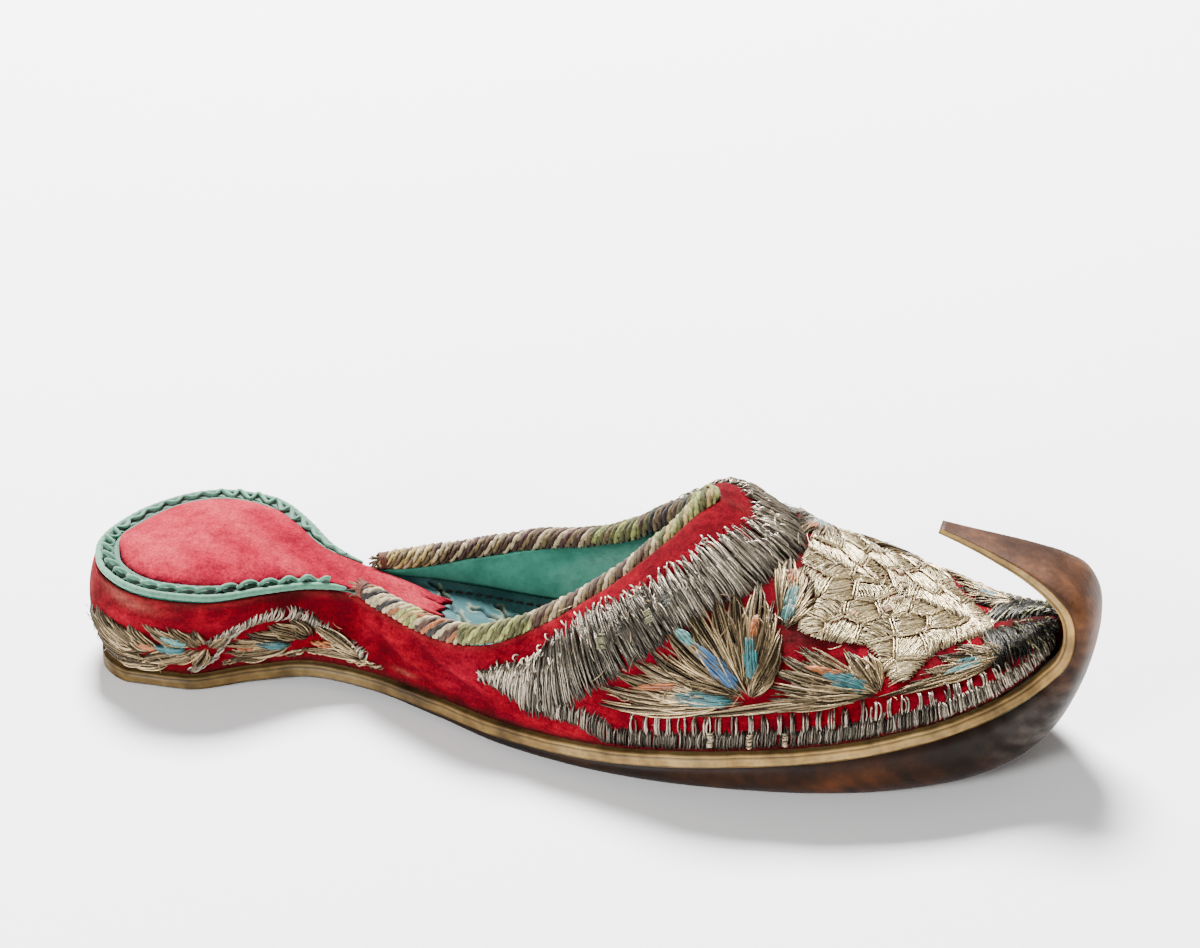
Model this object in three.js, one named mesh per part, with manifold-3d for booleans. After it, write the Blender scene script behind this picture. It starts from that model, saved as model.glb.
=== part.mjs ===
// A curled-toe embroidered mule, built as a shoemaker puts it together.
// Millimetres, +Z up, toe towards +X. The shoe stands on z = 0 under its own middle.
import * as THREE from "three";
import Module from "manifold-3d";

const wasm = await Module();
wasm.setup();

// Tables measure x forwards from the heel; the origin lies this far in front of that point.
const ORIGIN_FROM_HEEL = 121.7;

const WALL = 2.0; // velvet, interlining and goat lining together
const WALL_FOOT_INSET = 1.5; // the wall stands this far inside the sole's cut edge
const LIP_WIDTH = 4.2; // level margin of the sole that carries the wall
const GAP = 0.3; // clearance between pieces that meet
const CORD_RADIUS = 2.7;
const PIPING_RADIUS = 1.05;
const TRIM_RADIUS = 0.85;
const INSOLE_THICK = 1.5;
const GROOVE_DEPTH = 0.45; // the line pressed along the sole's cut edge

const SOLE_STATIONS = 46;
const HULL_POINTS = 6;
const DISH_POINTS = 5;
const WALL_STATIONS = 46;
const WALL_POINTS = 9;
const CORD_SIDES = 8;
const CORD_STEPS = 50;
const CORD_SAMPLES = 16; // points along each side of the collar that carry the cord
const TRIM_SIDES = 6;
const TRIM_STEPS = 36;
const PLEATS = 18;
const RIB_PROBE = 0.5; // step along the ribs over which a direction is taken
const RIM_SHARE = 0.88; // height share at which the rim reads the wall's slope
const CORD_START = 2.5; // the cord starts this far past the neck
const THROAT_RISE = 1.2; // the cord heaps up by this much where its two sides meet
const BLOCK_CLEARANCE = 0.6; // between the heel block's sides and the wall

// The outsole, one row for each cross-section from the heel, under the toe and up the curl.
// x and keel place the middle of the underside, lean tips the section back in degrees,
// half is the half width, flat the share of it that is level, rise the height of the cut
// edge's foot above the keel, band the height of the cut edge, thick the leather's thickness.
const SOLE_ROWS = [
  { x: 3.8, keel: 0, lean: 0, half: 0, flat: 0.93, rise: 0.4, band: 3.0, thick: 4 },
  { x: 5, keel: 0, lean: 0, half: 9.6, flat: 0.93, rise: 0.4, band: 3.0, thick: 4 },
  { x: 9.2, keel: 0, lean: 0, half: 18, flat: 0.93, rise: 0.4, band: 3.0, thick: 4 },
  { x: 17, keel: 0, lean: 0, half: 22.6, flat: 0.93, rise: 0.4, band: 3.0, thick: 4 },
  { x: 30, keel: 0, lean: 0, half: 22.6, flat: 0.92, rise: 0.4, band: 3.0, thick: 4 },
  { x: 45, keel: 0.9, lean: 0, half: 16.8, flat: 0.88, rise: 0.5, band: 3.2, thick: 4.2 },
  { x: 60, keel: 2.4, lean: 0, half: 13.9, flat: 0.84, rise: 0.6, band: 3.2, thick: 4.2 },
  { x: 75, keel: 2, lean: 0, half: 16, flat: 0.82, rise: 0.8, band: 3.2, thick: 4.2 },
  { x: 92, keel: 0.7, lean: 0, half: 22.2, flat: 0.8, rise: 1.9, band: 3.2, thick: 4.2 },
  { x: 112, keel: 0, lean: 0, half: 31.8, flat: 0.76, rise: 3.6, band: 3.2, thick: 4.2 },
  { x: 136, keel: 0, lean: 0, half: 39.2, flat: 0.7, rise: 5.8, band: 3.2, thick: 4.2 },
  { x: 162, keel: 0, lean: 0, half: 42.2, flat: 0.64, rise: 9.7, band: 3.2, thick: 4.2 },
  { x: 186, keel: 0, lean: 1, half: 40.6, flat: 0.58, rise: 13.4, band: 3.2, thick: 4.2 },
  { x: 206, keel: 0.5, lean: 9, half: 35.2, flat: 0.5, rise: 16, band: 3.2, thick: 4.2 },
  { x: 220, keel: 2.2, lean: 18, half: 29.6, flat: 0.36, rise: 17.2, band: 3.1, thick: 4.2 },
  { x: 229.2, keel: 5.8, lean: 26, half: 24.4, flat: 0.22, rise: 16.2, band: 3.1, thick: 4.1 },
  { x: 235.6, keel: 11.8, lean: 33, half: 19, flat: 0.12, rise: 13, band: 3.0, thick: 3.8 },
  { x: 239.4, keel: 19.4, lean: 44, half: 14.8, flat: 0.08, rise: 8.7, band: 3.0, thick: 3.5 },
  { x: 241.8, keel: 27.4, lean: 62, half: 12.8, flat: 0.05, rise: 5.2, band: 2.9, thick: 3.3 },
  { x: 242.8, keel: 34.4, lean: 80, half: 12.2, flat: 0.05, rise: 4.4, band: 2.8, thick: 3.1 },
  { x: 242.2, keel: 40, lean: 94, half: 12, flat: 0.05, rise: 4.2, band: 2.7, thick: 3 },
  { x: 239.4, keel: 44.4, lean: 112, half: 11.6, flat: 0.05, rise: 3.2, band: 2.6, thick: 2.9 },
  { x: 234.4, keel: 47.4, lean: 134, half: 10, flat: 0.1, rise: 2, band: 2.5, thick: 2.7 },
  { x: 227.6, keel: 49.8, lean: 152, half: 7.6, flat: 0.15, rise: 1, band: 2.3, thick: 2.4 },
  { x: 219.6, keel: 52, lean: 161, half: 5.2, flat: 0.2, rise: 0.5, band: 2.0, thick: 2.1 },
  { x: 212, keel: 53.9, lean: 164, half: 3.2, flat: 0.2, rise: 0.3, band: 1.7, thick: 1.8 },
  { x: 205.8, keel: 55.4, lean: 164, half: 2, flat: 0.2, rise: 0.2, band: 1.5, thick: 1.6 },
];
const HULL_FULLNESS = 2.5; // exponent of the hull's rounded bilge, 2 is an ellipse
const DISH_FULLNESS = 2.3;

// The upper's ribs, one row each from the heel back to the toe. foot is where the rib
// stands along the sole, x half z its top end on the heel seat, the collar and at last the
// crest of the vamp, bulge how far the rib swells outwards and shoulder how wide it stays on top.
const RIB_ROWS = [
  { foot: 5.3, x: 2.2, half: 0, z: 24.6, bulge: 4.2, shoulder: 0 },
  { foot: 6.6, x: 3.6, half: 7.4, z: 24.8, bulge: 4, shoulder: 0 },
  { foot: 10.4, x: 8, half: 16, z: 25.4, bulge: 3.4, shoulder: 0 },
  { foot: 18, x: 16.5, half: 24, z: 26.2, bulge: 2.4, shoulder: 0 },
  { foot: 28.5, x: 28, half: 27.6, z: 26.6, bulge: 1.6, shoulder: 0 },
  { foot: 39.5, x: 40, half: 25.8, z: 26.4, bulge: 1, shoulder: 0 },
  { foot: 50, x: 50, half: 18.2, z: 25.6, bulge: 0.2, shoulder: 0 },
  { foot: 58.5, x: 58.5, half: 10.6, z: 24, bulge: -0.6, shoulder: 0 },
  { foot: 67, x: 67, half: 7.6, z: 22.6, bulge: -0.6, shoulder: 0 },
  { foot: 79, x: 79, half: 14, z: 21.8, bulge: 0.4, shoulder: 0 },
  { foot: 93, x: 93, half: 22.2, z: 22.2, bulge: 1.2, shoulder: 0.05 },
  { foot: 106, x: 106, half: 25.8, z: 24.5, bulge: 1.4, shoulder: 0.15 },
  { foot: 118.5, x: 119, half: 22.8, z: 30, bulge: 1.6, shoulder: 0.35 },
  { foot: 131, x: 131.5, half: 17, z: 37.5, bulge: 1.8, shoulder: 0.45 },
  { foot: 144.5, x: 144.5, half: 10.2, z: 48, bulge: 2, shoulder: 0.5 },
  { foot: 154.5, x: 155, half: 0, z: 55.4, bulge: 2.2, shoulder: 0.5 },
  { foot: 165, x: 166, half: 0, z: 49.9, bulge: 2.4, shoulder: 0.5 },
  { foot: 178, x: 178.5, half: 0, z: 43.2, bulge: 2.6, shoulder: 0.52 },
  { foot: 192, x: 192, half: 0, z: 37.4, bulge: 2.4, shoulder: 0.54 },
  { foot: 206, x: 206, half: 0, z: 32.8, bulge: 2, shoulder: 0.56 },
  { foot: 216, x: 216, half: 0, z: 30.6, bulge: 1.4, shoulder: 0.58 },
  { foot: 224, x: 224, half: 0, z: 32.4, bulge: 0.8, shoulder: 0.55 },
  { foot: 231.6, x: 231, half: 0, z: 34.4, bulge: 0.2, shoulder: 0.5 },
  { foot: 235.3, x: 234.4, half: 0, z: 34.5, bulge: 0, shoulder: 0 },
];
const NECK_ROW = 8; // the rib at the narrow neck between heel seat and collar
const THROAT_ROW = 15; // the first rib that reaches the crest
const TOE_TURN = 222; // from here the wall's foot leaves the sole's edge and rounds the toe
const TOE_END = { x: 235.3, z: 31.9 };

// Height of the shoe's inside floor, its half width share and how far its margin turns up.
const BED_ROWS = [
  { x: 52.2, z: 25, half: 7.6, lift: 0 },
  { x: 59, z: 24, half: 5.4, lift: 0 },
  { x: 67, z: 22.7, half: 4.2, lift: 0 },
  { x: 78, z: 19.6, half: 10, lift: 0.2 },
  { x: 92, z: 14.4, half: 17.6, lift: 0.6 },
  { x: 106, z: 9.7, half: 23.4, lift: 1 },
  { x: 120, z: 7, half: 27.2, lift: 1.6 },
  { x: 140, z: 6.2, half: 31.2, lift: 2.6 },
  { x: 162, z: 6.2, half: 32.6, lift: 4.2 },
  { x: 184, z: 6.4, half: 30.4, lift: 6.2 },
  { x: 202, z: 7.4, half: 25.6, lift: 7.4 },
  { x: 216, z: 9.8, half: 19.2, lift: 8 },
  { x: 226, z: 13.6, half: 12, lift: 6.6 },
];

// Heel cushion and its tongue: half width, height of the underside and of the crown over it.
const PAD_ROWS = [
  { x: 9.4, half: 0, under: 25.3, crown: 1.9 },
  { x: 10.7, half: 6.2, under: 25.4, crown: 3 },
  { x: 14.8, half: 12.6, under: 25.7, crown: 4.2 },
  { x: 21.8, half: 17.8, under: 26.2, crown: 5 },
  { x: 30, half: 19.7, under: 26.5, crown: 5.3 },
  { x: 39, half: 18, under: 26.4, crown: 4.7 },
  { x: 48, half: 11.2, under: 25.8, crown: 3.5 },
  { x: 55.5, half: 5.8, under: 24.9, crown: 2.3 },
  { x: 64, half: 4.2, under: 23.6, crown: 1.5 },
  { x: 74, half: 4.7, under: 21.3, crown: 1.1 },
  { x: 84, half: 5.2, under: 17.9, crown: 0.9 },
  { x: 87, half: 4.9, under: 16.7, crown: 0.9 },
];

// Solid filling of the heel: height of its top, from the seat down the waist's slope.
const BLOCK_ROWS = [
  { x: 8, top: 24 },
  { x: 14, top: 24.9 },
  { x: 30, top: 26.1 },
  { x: 42, top: 25.9 },
  { x: 49, top: 25.2 },
  { x: 51.5, top: 23 },
  { x: 59, top: 22 },
  { x: 67, top: 20.8 },
  { x: 78, top: 17.6 },
  { x: 92, top: 12.4 },
  { x: 105, top: 7.9 },
];

const lerp = THREE.MathUtils.lerp;
const clamp = THREE.MathUtils.clamp;
const radians = THREE.MathUtils.degToRad;

// Smooth curve through table rows. mirrored names the columns that change sign across y = 0,
// so that an outline leaves its end square to the middle plane.
function rowCurve(rows, stops, mirrored = []) {
  const keys = Object.keys(rows[0]);
  const slopes = {};
  for (const key of keys) {
    const value = rows.map((row) => row[key]);
    const chord = value.slice(1).map((v, i) => (v - value[i]) / (stops[i + 1] - stops[i]));
    slopes[key] = value.map((_, i) => {
      if (i === 0) return mirrored.includes(key) ? chord[0] : 0;
      if (i === value.length - 1) return chord[i - 1];
      const [a, b] = [chord[i - 1], chord[i]];
      if (mirrored.includes(key) && value[i] === 0 && a < 0) return 1.4 * a;
      if (a * b <= 0) return 0;
      const steepest = 3 * Math.min(Math.abs(a), Math.abs(b));
      const span = stops[i + 1] - stops[i - 1];
      const mean = (a * (stops[i + 1] - stops[i]) + b * (stops[i] - stops[i - 1])) / span;
      return Math.sign(mean) * Math.min(Math.abs(mean), steepest);
    });
  }
  return (s) => {
    let i = stops.findIndex((stop, k) => k > 0 && s <= stop) - 1;
    if (i < 0) i = stops.length - 2;
    const width = stops[i + 1] - stops[i];
    const t = clamp((s - stops[i]) / width, 0, 1);
    const out = {};
    for (const key of keys) {
      const [a, b] = [rows[i][key], rows[i + 1][key]];
      const [ma, mb] = [slopes[key][i] * width, slopes[key][i + 1] * width];
      const u = 1 - t;
      out[key] = a * u * u * (1 + 2 * t) + b * t * t * (3 - 2 * t) + ma * t * u * u - mb * t * t * u;
    }
    return out;
  };
}

// Stops for rowCurve: the distance walked from row to row over the named columns.
function walked(rows, ...columns) {
  const stops = [0];
  rows.slice(1).forEach((row, i) => {
    const step = Math.hypot(...columns.map((c) => row[c] - rows[i][c]));
    stops.push(stops[i] + step);
  });
  return stops;
}

const byX = (rows) => rowCurve(rows, rows.map((row) => row.x));

const soleStops = walked(SOLE_ROWS, "x", "keel", "half");
const soleCurve = rowCurve(SOLE_ROWS, soleStops, ["half"]);
const soleEnd = soleStops.at(-1);

// A point of a sole section, y to the side and up along the section's lean.
function onSection(row, y, up) {
  const lean = radians(row.lean);
  return new THREE.Vector3(row.x - up * Math.sin(lean), y, row.keel + up * Math.cos(lean));
}

// Margin of the sole, narrowing where the sole turns into the slender curl.
const lipWidth = (row) => Math.min(LIP_WIDTH, row.half * 0.3);

// Half of a sole section, from the middle of the underside round the edge to the middle above.
function soleSection(row) {
  const top = row.rise + row.band;
  const level = row.half * row.flat;
  const points = [[0, 0]];
  for (let i = 0; i <= HULL_POINTS; i += 1) {
    const angle = (i / HULL_POINTS) * (Math.PI / 2);
    const out = Math.sin(angle) ** (2 / HULL_FULLNESS);
    const rise = 1 - Math.cos(angle) ** (2 / HULL_FULLNESS);
    points.push([level + (row.half - level) * out, row.rise * rise]);
  }
  const groove = Math.min(GROOVE_DEPTH, row.half * 0.1);
  for (const [share, depth] of [[0.4, 0], [0.48, 1], [0.56, 1], [0.64, 0]]) {
    points.push([row.half - groove * depth, row.rise + row.band * share]);
  }
  points.push([row.half - groove * 0.4, top - row.band * 0.06]);
  points.push([row.half - groove * 1.2, top]);
  const inner = row.half - lipWidth(row);
  const dish = Math.max(0, top - row.thick);
  for (let i = DISH_POINTS; i >= 0; i -= 1) {
    const angle = (i / DISH_POINTS) * (Math.PI / 2);
    const out = Math.sin(angle) ** (2 / DISH_FULLNESS);
    const fall = Math.cos(angle) ** (2 / DISH_FULLNESS);
    points.push([inner * out, top - dish * fall]);
  }
  return points.map(([y, up]) => onSection(row, y, up));
}

// Closed body from rings of points: quads between neighbouring rings and a fan on each end.
function ringBody(rings) {
  const count = rings[0].length;
  const faces = [];
  for (let i = 0; i + 1 < rings.length; i += 1) {
    for (let j = 0; j < count; j += 1) {
      const k = (j + 1) % count;
      const [a, b] = [i * count + j, i * count + k];
      const [c, d] = [(i + 1) * count + k, (i + 1) * count + j];
      faces.push([a, b, c], [a, c, d]);
    }
  }
  for (let j = 1; j + 1 < count; j += 1) {
    const last = (rings.length - 1) * count;
    faces.push([0, j + 1, j], [last, last + j, last + j + 1]);
  }
  return bodyOf(rings.flat(), faces);
}

// Solid of a closed body. Points that coincide become one, faces that collapse go, and a body
// whose rings ran the other way is turned face out.
function bodyOf(points, faces) {
  const seen = new Map();
  const vertices = [];
  const index = points.map((p) => {
    const key = [p.x, p.y, p.z].map((c) => Math.round(c * 1e4)).join();
    if (!seen.has(key)) {
      seen.set(key, vertices.length / 3);
      vertices.push(p.x, p.y, p.z);
    }
    return seen.get(key);
  });
  const kept = faces
    .map((face) => face.map((corner) => index[corner]))
    .filter(([a, b, c]) => a !== b && b !== c && a !== c);
  const solidFrom = (triangles) =>
    new wasm.Manifold(
      new wasm.Mesh({
        numProp: 3,
        vertProperties: new Float32Array(vertices),
        triVerts: new Uint32Array(triangles.flat()),
      }),
    );
  const solid = solidFrom(kept);
  return solid.volume() > 0 ? solid : solidFrom(kept.map(([a, b, c]) => [a, c, b]));
}

// Drawable geometry of a solid.
function geometryOf(solid) {
  const mesh = solid.getMesh();
  const geometry = new THREE.BufferGeometry();
  geometry.setAttribute("position", new THREE.BufferAttribute(mesh.vertProperties, 3));
  geometry.setIndex(new THREE.BufferAttribute(mesh.triVerts, 1));
  geometry.computeVertexNormals();
  return geometry;
}

// Mirrors a half section and joins it into one ring, seen from the toe.
function wholeRing(half) {
  const other = half
    .slice(1, -1)
    .reverse()
    .map((p) => new THREE.Vector3(p.x, -p.y, p.z));
  return [...half, ...other];
}

function outsole() {
  const rings = [];
  for (let i = 0; i <= SOLE_STATIONS; i += 1) {
    rings.push(wholeRing(soleSection(soleCurve((i / SOLE_STATIONS) * soleEnd))));
  }
  return ringBody(rings);
}

// Line on the sole's margin where the wall stands, as a walk of points from heel to toe.
function footLine() {
  const samples = 400;
  const edge = [];
  for (let i = 0; i <= samples; i += 1) {
    const row = soleCurve((i / samples) * soleEnd);
    const point = onSection(row, row.half, row.rise + row.band);
    if (point.x > TOE_TURN || row.lean > 60) break;
    edge.push(point);
  }
  const line = edge.map((p, i) => {
    if (i === 0) return new THREE.Vector3(p.x + WALL_FOOT_INSET, 0, p.z + GAP);
    const [before, after] = [edge[i - 1], edge[Math.min(i + 1, edge.length - 1)]];
    const along = new THREE.Vector2(after.x - before.x, after.y - before.y).normalize();
    const y = Math.max(0, p.y - along.x * WALL_FOOT_INSET);
    return new THREE.Vector3(p.x + along.y * WALL_FOOT_INSET, y, p.z + GAP);
  });
  const [last, near] = [line.at(-1), line.at(-3)];
  const along = last.clone().sub(near).normalize();
  const reach = (TOE_END.x - last.x) * 0.75;
  const end = new THREE.Vector3(TOE_END.x, 0, TOE_END.z);
  const turn = new THREE.CubicBezierCurve3(
    last,
    last.clone().addScaledVector(along, reach),
    new THREE.Vector3(end.x, last.y * 0.42, end.z),
    end,
  );
  return [...line, ...turn.getPoints(24).slice(1)];
}

// Point of a polyline at a given distance from its start.
function pointAlong(line, lengths, distance) {
  let i = lengths.findIndex((length) => length >= distance);
  if (i < 0) i = lengths.length - 1;
  if (i === 0) return line[0].clone();
  const t = (distance - lengths[i - 1]) / (lengths[i] - lengths[i - 1]);
  return line[i - 1].clone().lerp(line[i], t);
}

const wallFoot = footLine();
const wallLengths = [0];
wallFoot.slice(1).forEach((p, i) => wallLengths.push(wallLengths[i] + p.distanceTo(wallFoot[i])));

// Distance along the wall's foot at which it has a given x.
function distanceAtX(x) {
  const i = wallFoot.findIndex((p) => p.x >= x);
  if (i <= 0) return i === 0 ? 0 : wallLengths.at(-1);
  const t = (x - wallFoot[i - 1].x) / (wallFoot[i].x - wallFoot[i - 1].x);
  return lerp(wallLengths[i - 1], wallLengths[i], t);
}

const ribTable = RIB_ROWS.map((row, i) => {
  const ends = { 0: 0, [RIB_ROWS.length - 1]: wallLengths.at(-1) };
  return { ...row, walk: ends[i] ?? distanceAtX(row.foot) };
});
const ribStops = walked(ribTable, "walk");
const ribCurve = rowCurve(ribTable, ribStops, ["half", "walk"]);

// A rib of the wall: a curve from the sole's margin up to the seat, collar or crest.
function rib(stop) {
  const row = ribCurve(stop);
  const foot = pointAlong(wallFoot, wallLengths, row.walk);
  const top = new THREE.Vector3(row.x, Math.max(0, row.half), row.z);
  const height = top.z - foot.z;
  const inward = foot.y - top.y;
  const out = new THREE.Vector3(0, row.bulge, 0);
  if (row.walk < 40) {
    const turn = Math.cos((row.walk / 40) * (Math.PI / 2));
    out.set(-row.bulge * turn, row.bulge * Math.sqrt(1 - turn * turn), 0);
  }
  const low = foot.clone().addScaledVector(out, 1.3);
  low.x = lerp(low.x, top.x, 0.3);
  low.z += height * 0.42;
  const high = top.clone().addScaledVector(out, 1.2);
  high.x = lerp(high.x, foot.x, 0.3);
  high.y += inward * row.shoulder;
  high.z -= height * lerp(0.34, 0.02, Math.min(1, row.shoulder * 2));
  low.y = foot.y < 1e-6 ? 0 : low.y;
  high.y = foot.y < 1e-6 ? 0 : high.y;
  return new THREE.CubicBezierCurve3(foot, low, high, top);
}

// The wall's outer face as a grid of points, stations from heel to toe, points foot to top.
function wallGrid(stations, across) {
  const throat = ribStops[THROAT_ROW];
  const before = Math.round((stations * throat) / ribStops.at(-1));
  const grid = [];
  for (let i = 0; i <= stations; i += 1) {
    const stop =
      i <= before
        ? (throat * i) / before
        : lerp(throat, ribStops.at(-1), (i - before) / (stations - before));
    const points = rib(stop).getPoints(across);
    if (i >= before) points[across].y = 0;
    grid.push(points);
  }
  return { grid, throatStation: before };
}

// The same grid moved inwards by a depth, square to the face.
function insetGrid({ grid, throatStation }, depth) {
  const [stations, across] = [grid.length - 1, grid[0].length - 1];
  const at = (i, j) => {
    if (i < 0) return mirrored(at(-i, j));
    if (i > stations) return mirrored(at(2 * stations - i, j));
    if (j > across) {
      if (i >= throatStation) return mirrored(at(i, 2 * across - j));
      return at(i, across);
    }
    return grid[i][Math.max(0, j)];
  };
  const inset = grid.map((points, i) =>
    points.map((p, j) => {
      const along = at(i + 1, j).clone().sub(at(i - 1, j));
      const up = at(i, j + 1).clone().sub(at(i, j - 1));
      const face = new THREE.Vector3().crossVectors(along, up).normalize();
      if (j === 0) face.setZ(0).normalize();
      const moved = p.clone().addScaledVector(face, depth);
      if (p.y < 1e-6) moved.y = 0;
      moved.y = Math.max(0, moved.y);
      return moved;
    }),
  );
  return { grid: inset, throatStation };
}

const mirrored = (p) => new THREE.Vector3(p.x, -p.y, p.z);

// The upper: one wall from the sole's margin to seat, collar and crest, open below.
function upper() {
  const outer = wallGrid(WALL_STATIONS, WALL_POINTS);
  const inner = insetGrid(outer, WALL);
  const points = [];
  const faces = [];
  const across = WALL_POINTS;
  const stride = across + 1;
  const addSheet = ({ grid }, side) => {
    const start = points.length;
    grid.forEach((column) => column.forEach((p) => points.push(side > 0 ? p : mirrored(p))));
    return start;
  };
  const quad = (a, b, c, d, flip) => {
    if (flip) faces.push([a, c, b], [a, d, c]);
    else faces.push([a, b, c], [a, c, d]);
  };
  for (const side of [1, -1]) {
    const [o, n] = [addSheet(outer, side), addSheet(inner, side)];
    const flip = side < 0;
    for (let i = 0; i < WALL_STATIONS; i += 1) {
      const [p, q] = [i * stride, (i + 1) * stride];
      for (let j = 0; j < across; j += 1) {
        quad(o + p + j, o + p + j + 1, o + q + j + 1, o + q + j, flip);
        quad(n + p + j, n + q + j, n + q + j + 1, n + p + j + 1, flip);
      }
      quad(o + p, o + q, n + q, n + p, flip);
      if (i < outer.throatStation) {
        quad(o + p + across, n + p + across, n + q + across, o + q + across, flip);
      }
    }
  }
  return bodyOf(points, faces).subtract(throatSeat());
}

// Half width inside a sheet of the wall at a given x and height.
function insideHalf(sheet, x, z) {
  const column = sheet.grid.map((points) => {
    let best = points[0];
    for (let j = 1; j < points.length; j += 1) {
      if (points[j - 1].z <= z && points[j].z >= z) {
        const t = (z - points[j - 1].z) / (points[j].z - points[j - 1].z);
        return points[j - 1].clone().lerp(points[j], t);
      }
      if (points[j].z < z) best = points[j];
    }
    return best;
  });
  for (let i = 1; i < column.length; i += 1) {
    if (column[i].x >= x) {
      const run = column[i].x - column[i - 1].x;
      const t = run > 1e-6 ? clamp((x - column[i - 1].x) / run, 0, 1) : 0;
      return lerp(column[i - 1].y, column[i].y, t);
    }
  }
  return 0;
}

const blockFace = insetGrid(wallGrid(90, 12), WALL + BLOCK_CLEARANCE);

// Heel block: fills the covered heel and slopes down under the arch of the foot.
function heelBlock() {
  const topAt = byX(BLOCK_ROWS);
  const [start, end] = [BLOCK_ROWS[0].x, BLOCK_ROWS.at(-1).x];
  const stations = 26;
  const levels = 4;
  const rings = [];
  for (let i = 0; i <= stations; i += 1) {
    const x = start + (end - start) * (1 - Math.cos((i / stations) * (Math.PI / 2))) ** 0.9;
    const edge = soleEdgeAt(x);
    const low = edge.z + GAP;
    const top = Math.max(topAt(x).top, low + 0.8);
    const half = [new THREE.Vector3(x, 0, low)];
    for (let j = 0; j <= levels; j += 1) {
      const z = lerp(low, top, j / levels);
      const y = i === 0 ? 0 : Math.max(0.02, insideHalf(blockFace, x, z));
      half.push(new THREE.Vector3(x, y, z));
    }
    half.push(new THREE.Vector3(x, 0, top));
    rings.push(wholeRing(half));
  }
  return ringBody(rings);
}

// Height of the sole's margin at a given x.
function soleEdgeAt(x) {
  let [low, high] = [0, soleEnd * 0.7];
  for (let k = 0; k < 40; k += 1) {
    const middle = (low + high) / 2;
    const row = soleCurve(middle);
    const point = onSection(row, row.half, row.rise + row.band);
    if (point.x < x) low = middle;
    else high = middle;
  }
  const row = soleCurve(low);
  const point = onSection(row, row.half, row.rise + row.band);
  return { z: point.z, half: point.y };
}

// The insole: an even sheet of leather over the bed, its margins turned up against the wall.
function insole() {
  const bed = byX(BED_ROWS);
  const [start, end] = [BED_ROWS[0].x, BED_ROWS.at(-1).x];
  const stations = 26;
  const points = 5;
  const rings = [];
  for (let i = 0; i <= stations; i += 1) {
    const row = bed(lerp(start, end, i / stations));
    const half = [];
    for (let j = 0; j <= points; j += 1) {
      const q = j / points;
      half.push(new THREE.Vector3(row.x, row.half * q, row.z + row.lift * q ** 3 - INSOLE_THICK));
    }
    for (let j = points; j >= 0; j -= 1) {
      const q = j / points;
      half.push(new THREE.Vector3(row.x, row.half * q, row.z + row.lift * q ** 3));
    }
    rings.push(wholeRing(half));
  }
  return ringBody(rings);
}

// The domed heel cushion and the narrow tongue that runs from it down the waist.
function heelPad() {
  const stops = walked(PAD_ROWS, "x", "half");
  const pad = rowCurve(PAD_ROWS, stops, ["half"]);
  const stations = 24;
  const points = 5;
  const rings = [];
  for (let i = 0; i <= stations; i += 1) {
    const row = pad((i / stations) * stops.at(-1));
    const half = [new THREE.Vector3(row.x, 0, row.under)];
    for (let j = 0; j <= points; j += 1) {
      const angle = (j / points) * (Math.PI / 2);
      const out = Math.cos(angle) ** 0.6;
      const rise = Math.sin(angle) ** 0.9;
      const rim = Math.min(0.8, row.crown * 0.5);
      half.push(new THREE.Vector3(row.x, row.half * out, row.under + rim + (row.crown - rim) * rise));
    }
    half.splice(1, 0, new THREE.Vector3(row.x, Math.max(0, row.half - 0.4), row.under));
    rings.push(wholeRing(half));
  }
  return ringBody(rings);
}

// A tube swept along points.
function tube(path, radius, sides, steps) {
  const curve = new THREE.CatmullRomCurve3(path, false, "centripetal");
  const circle = new THREE.Shape();
  for (let k = 0; k < sides; k += 1) {
    const angle = (k / sides) * 2 * Math.PI;
    const [x, y] = [radius * Math.cos(angle), radius * Math.sin(angle)];
    if (k === 0) circle.moveTo(x, y);
    else circle.lineTo(x, y);
  }
  circle.closePath();
  const options = { steps, bevelEnabled: false, extrudePath: curve, curveSegments: 1 };
  const geometry = new THREE.ExtrudeGeometry(circle, options);
  const position = geometry.getAttribute("position");
  const points = [];
  const faces = [];
  for (let i = 0; i < position.count; i += 1) {
    points.push(new THREE.Vector3().fromBufferAttribute(position, i));
    if (i % 3 === 2) faces.push([i - 2, i - 1, i]);
  }
  return bodyOf(points, faces);
}

// Line that rides above the middle of the wall's top edge, from one rib stop to another.
function rimLine(from, to, height, samples) {
  const line = [];
  for (let i = 0; i <= samples; i += 1) {
    const stop = lerp(from, to, i / samples);
    const [back, curve, ahead] = [stop - RIB_PROBE, stop, stop + RIB_PROBE].map(rib);
    const before = back.getPoint(1);
    const after = i === samples ? mirrored(before) : ahead.getPoint(1);
    const along = after.sub(before).normalize();
    const forward = ahead.getPoint(RIM_SHARE).sub(back.getPoint(RIM_SHARE));
    const face = new THREE.Vector3().crossVectors(forward, curve.getTangent(RIM_SHARE)).normalize();
    if (i === samples) face.setY(0).normalize();
    const up = new THREE.Vector3().crossVectors(face, along).normalize();
    line.push(curve.getPoint(1).addScaledVector(face, WALL / 2).addScaledVector(up, height));
  }
  return line;
}

// Line of the collar cord from one side of the neck over the throat to the other.
function collarLine() {
  const from = ribStops[NECK_ROW] + CORD_START;
  const line = rimLine(from, ribStops[THROAT_ROW], CORD_RADIUS + GAP, CORD_SAMPLES);
  line.at(-1).setY(0).setZ(line.at(-1).z + THROAT_RISE);
  return [...line.map(mirrored), ...line.slice(0, -1).reverse()];
}

// The braided cord bound over the collar.
function collarCord() {
  return tube(collarLine(), CORD_RADIUS, CORD_SIDES, CORD_STEPS);
}

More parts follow.
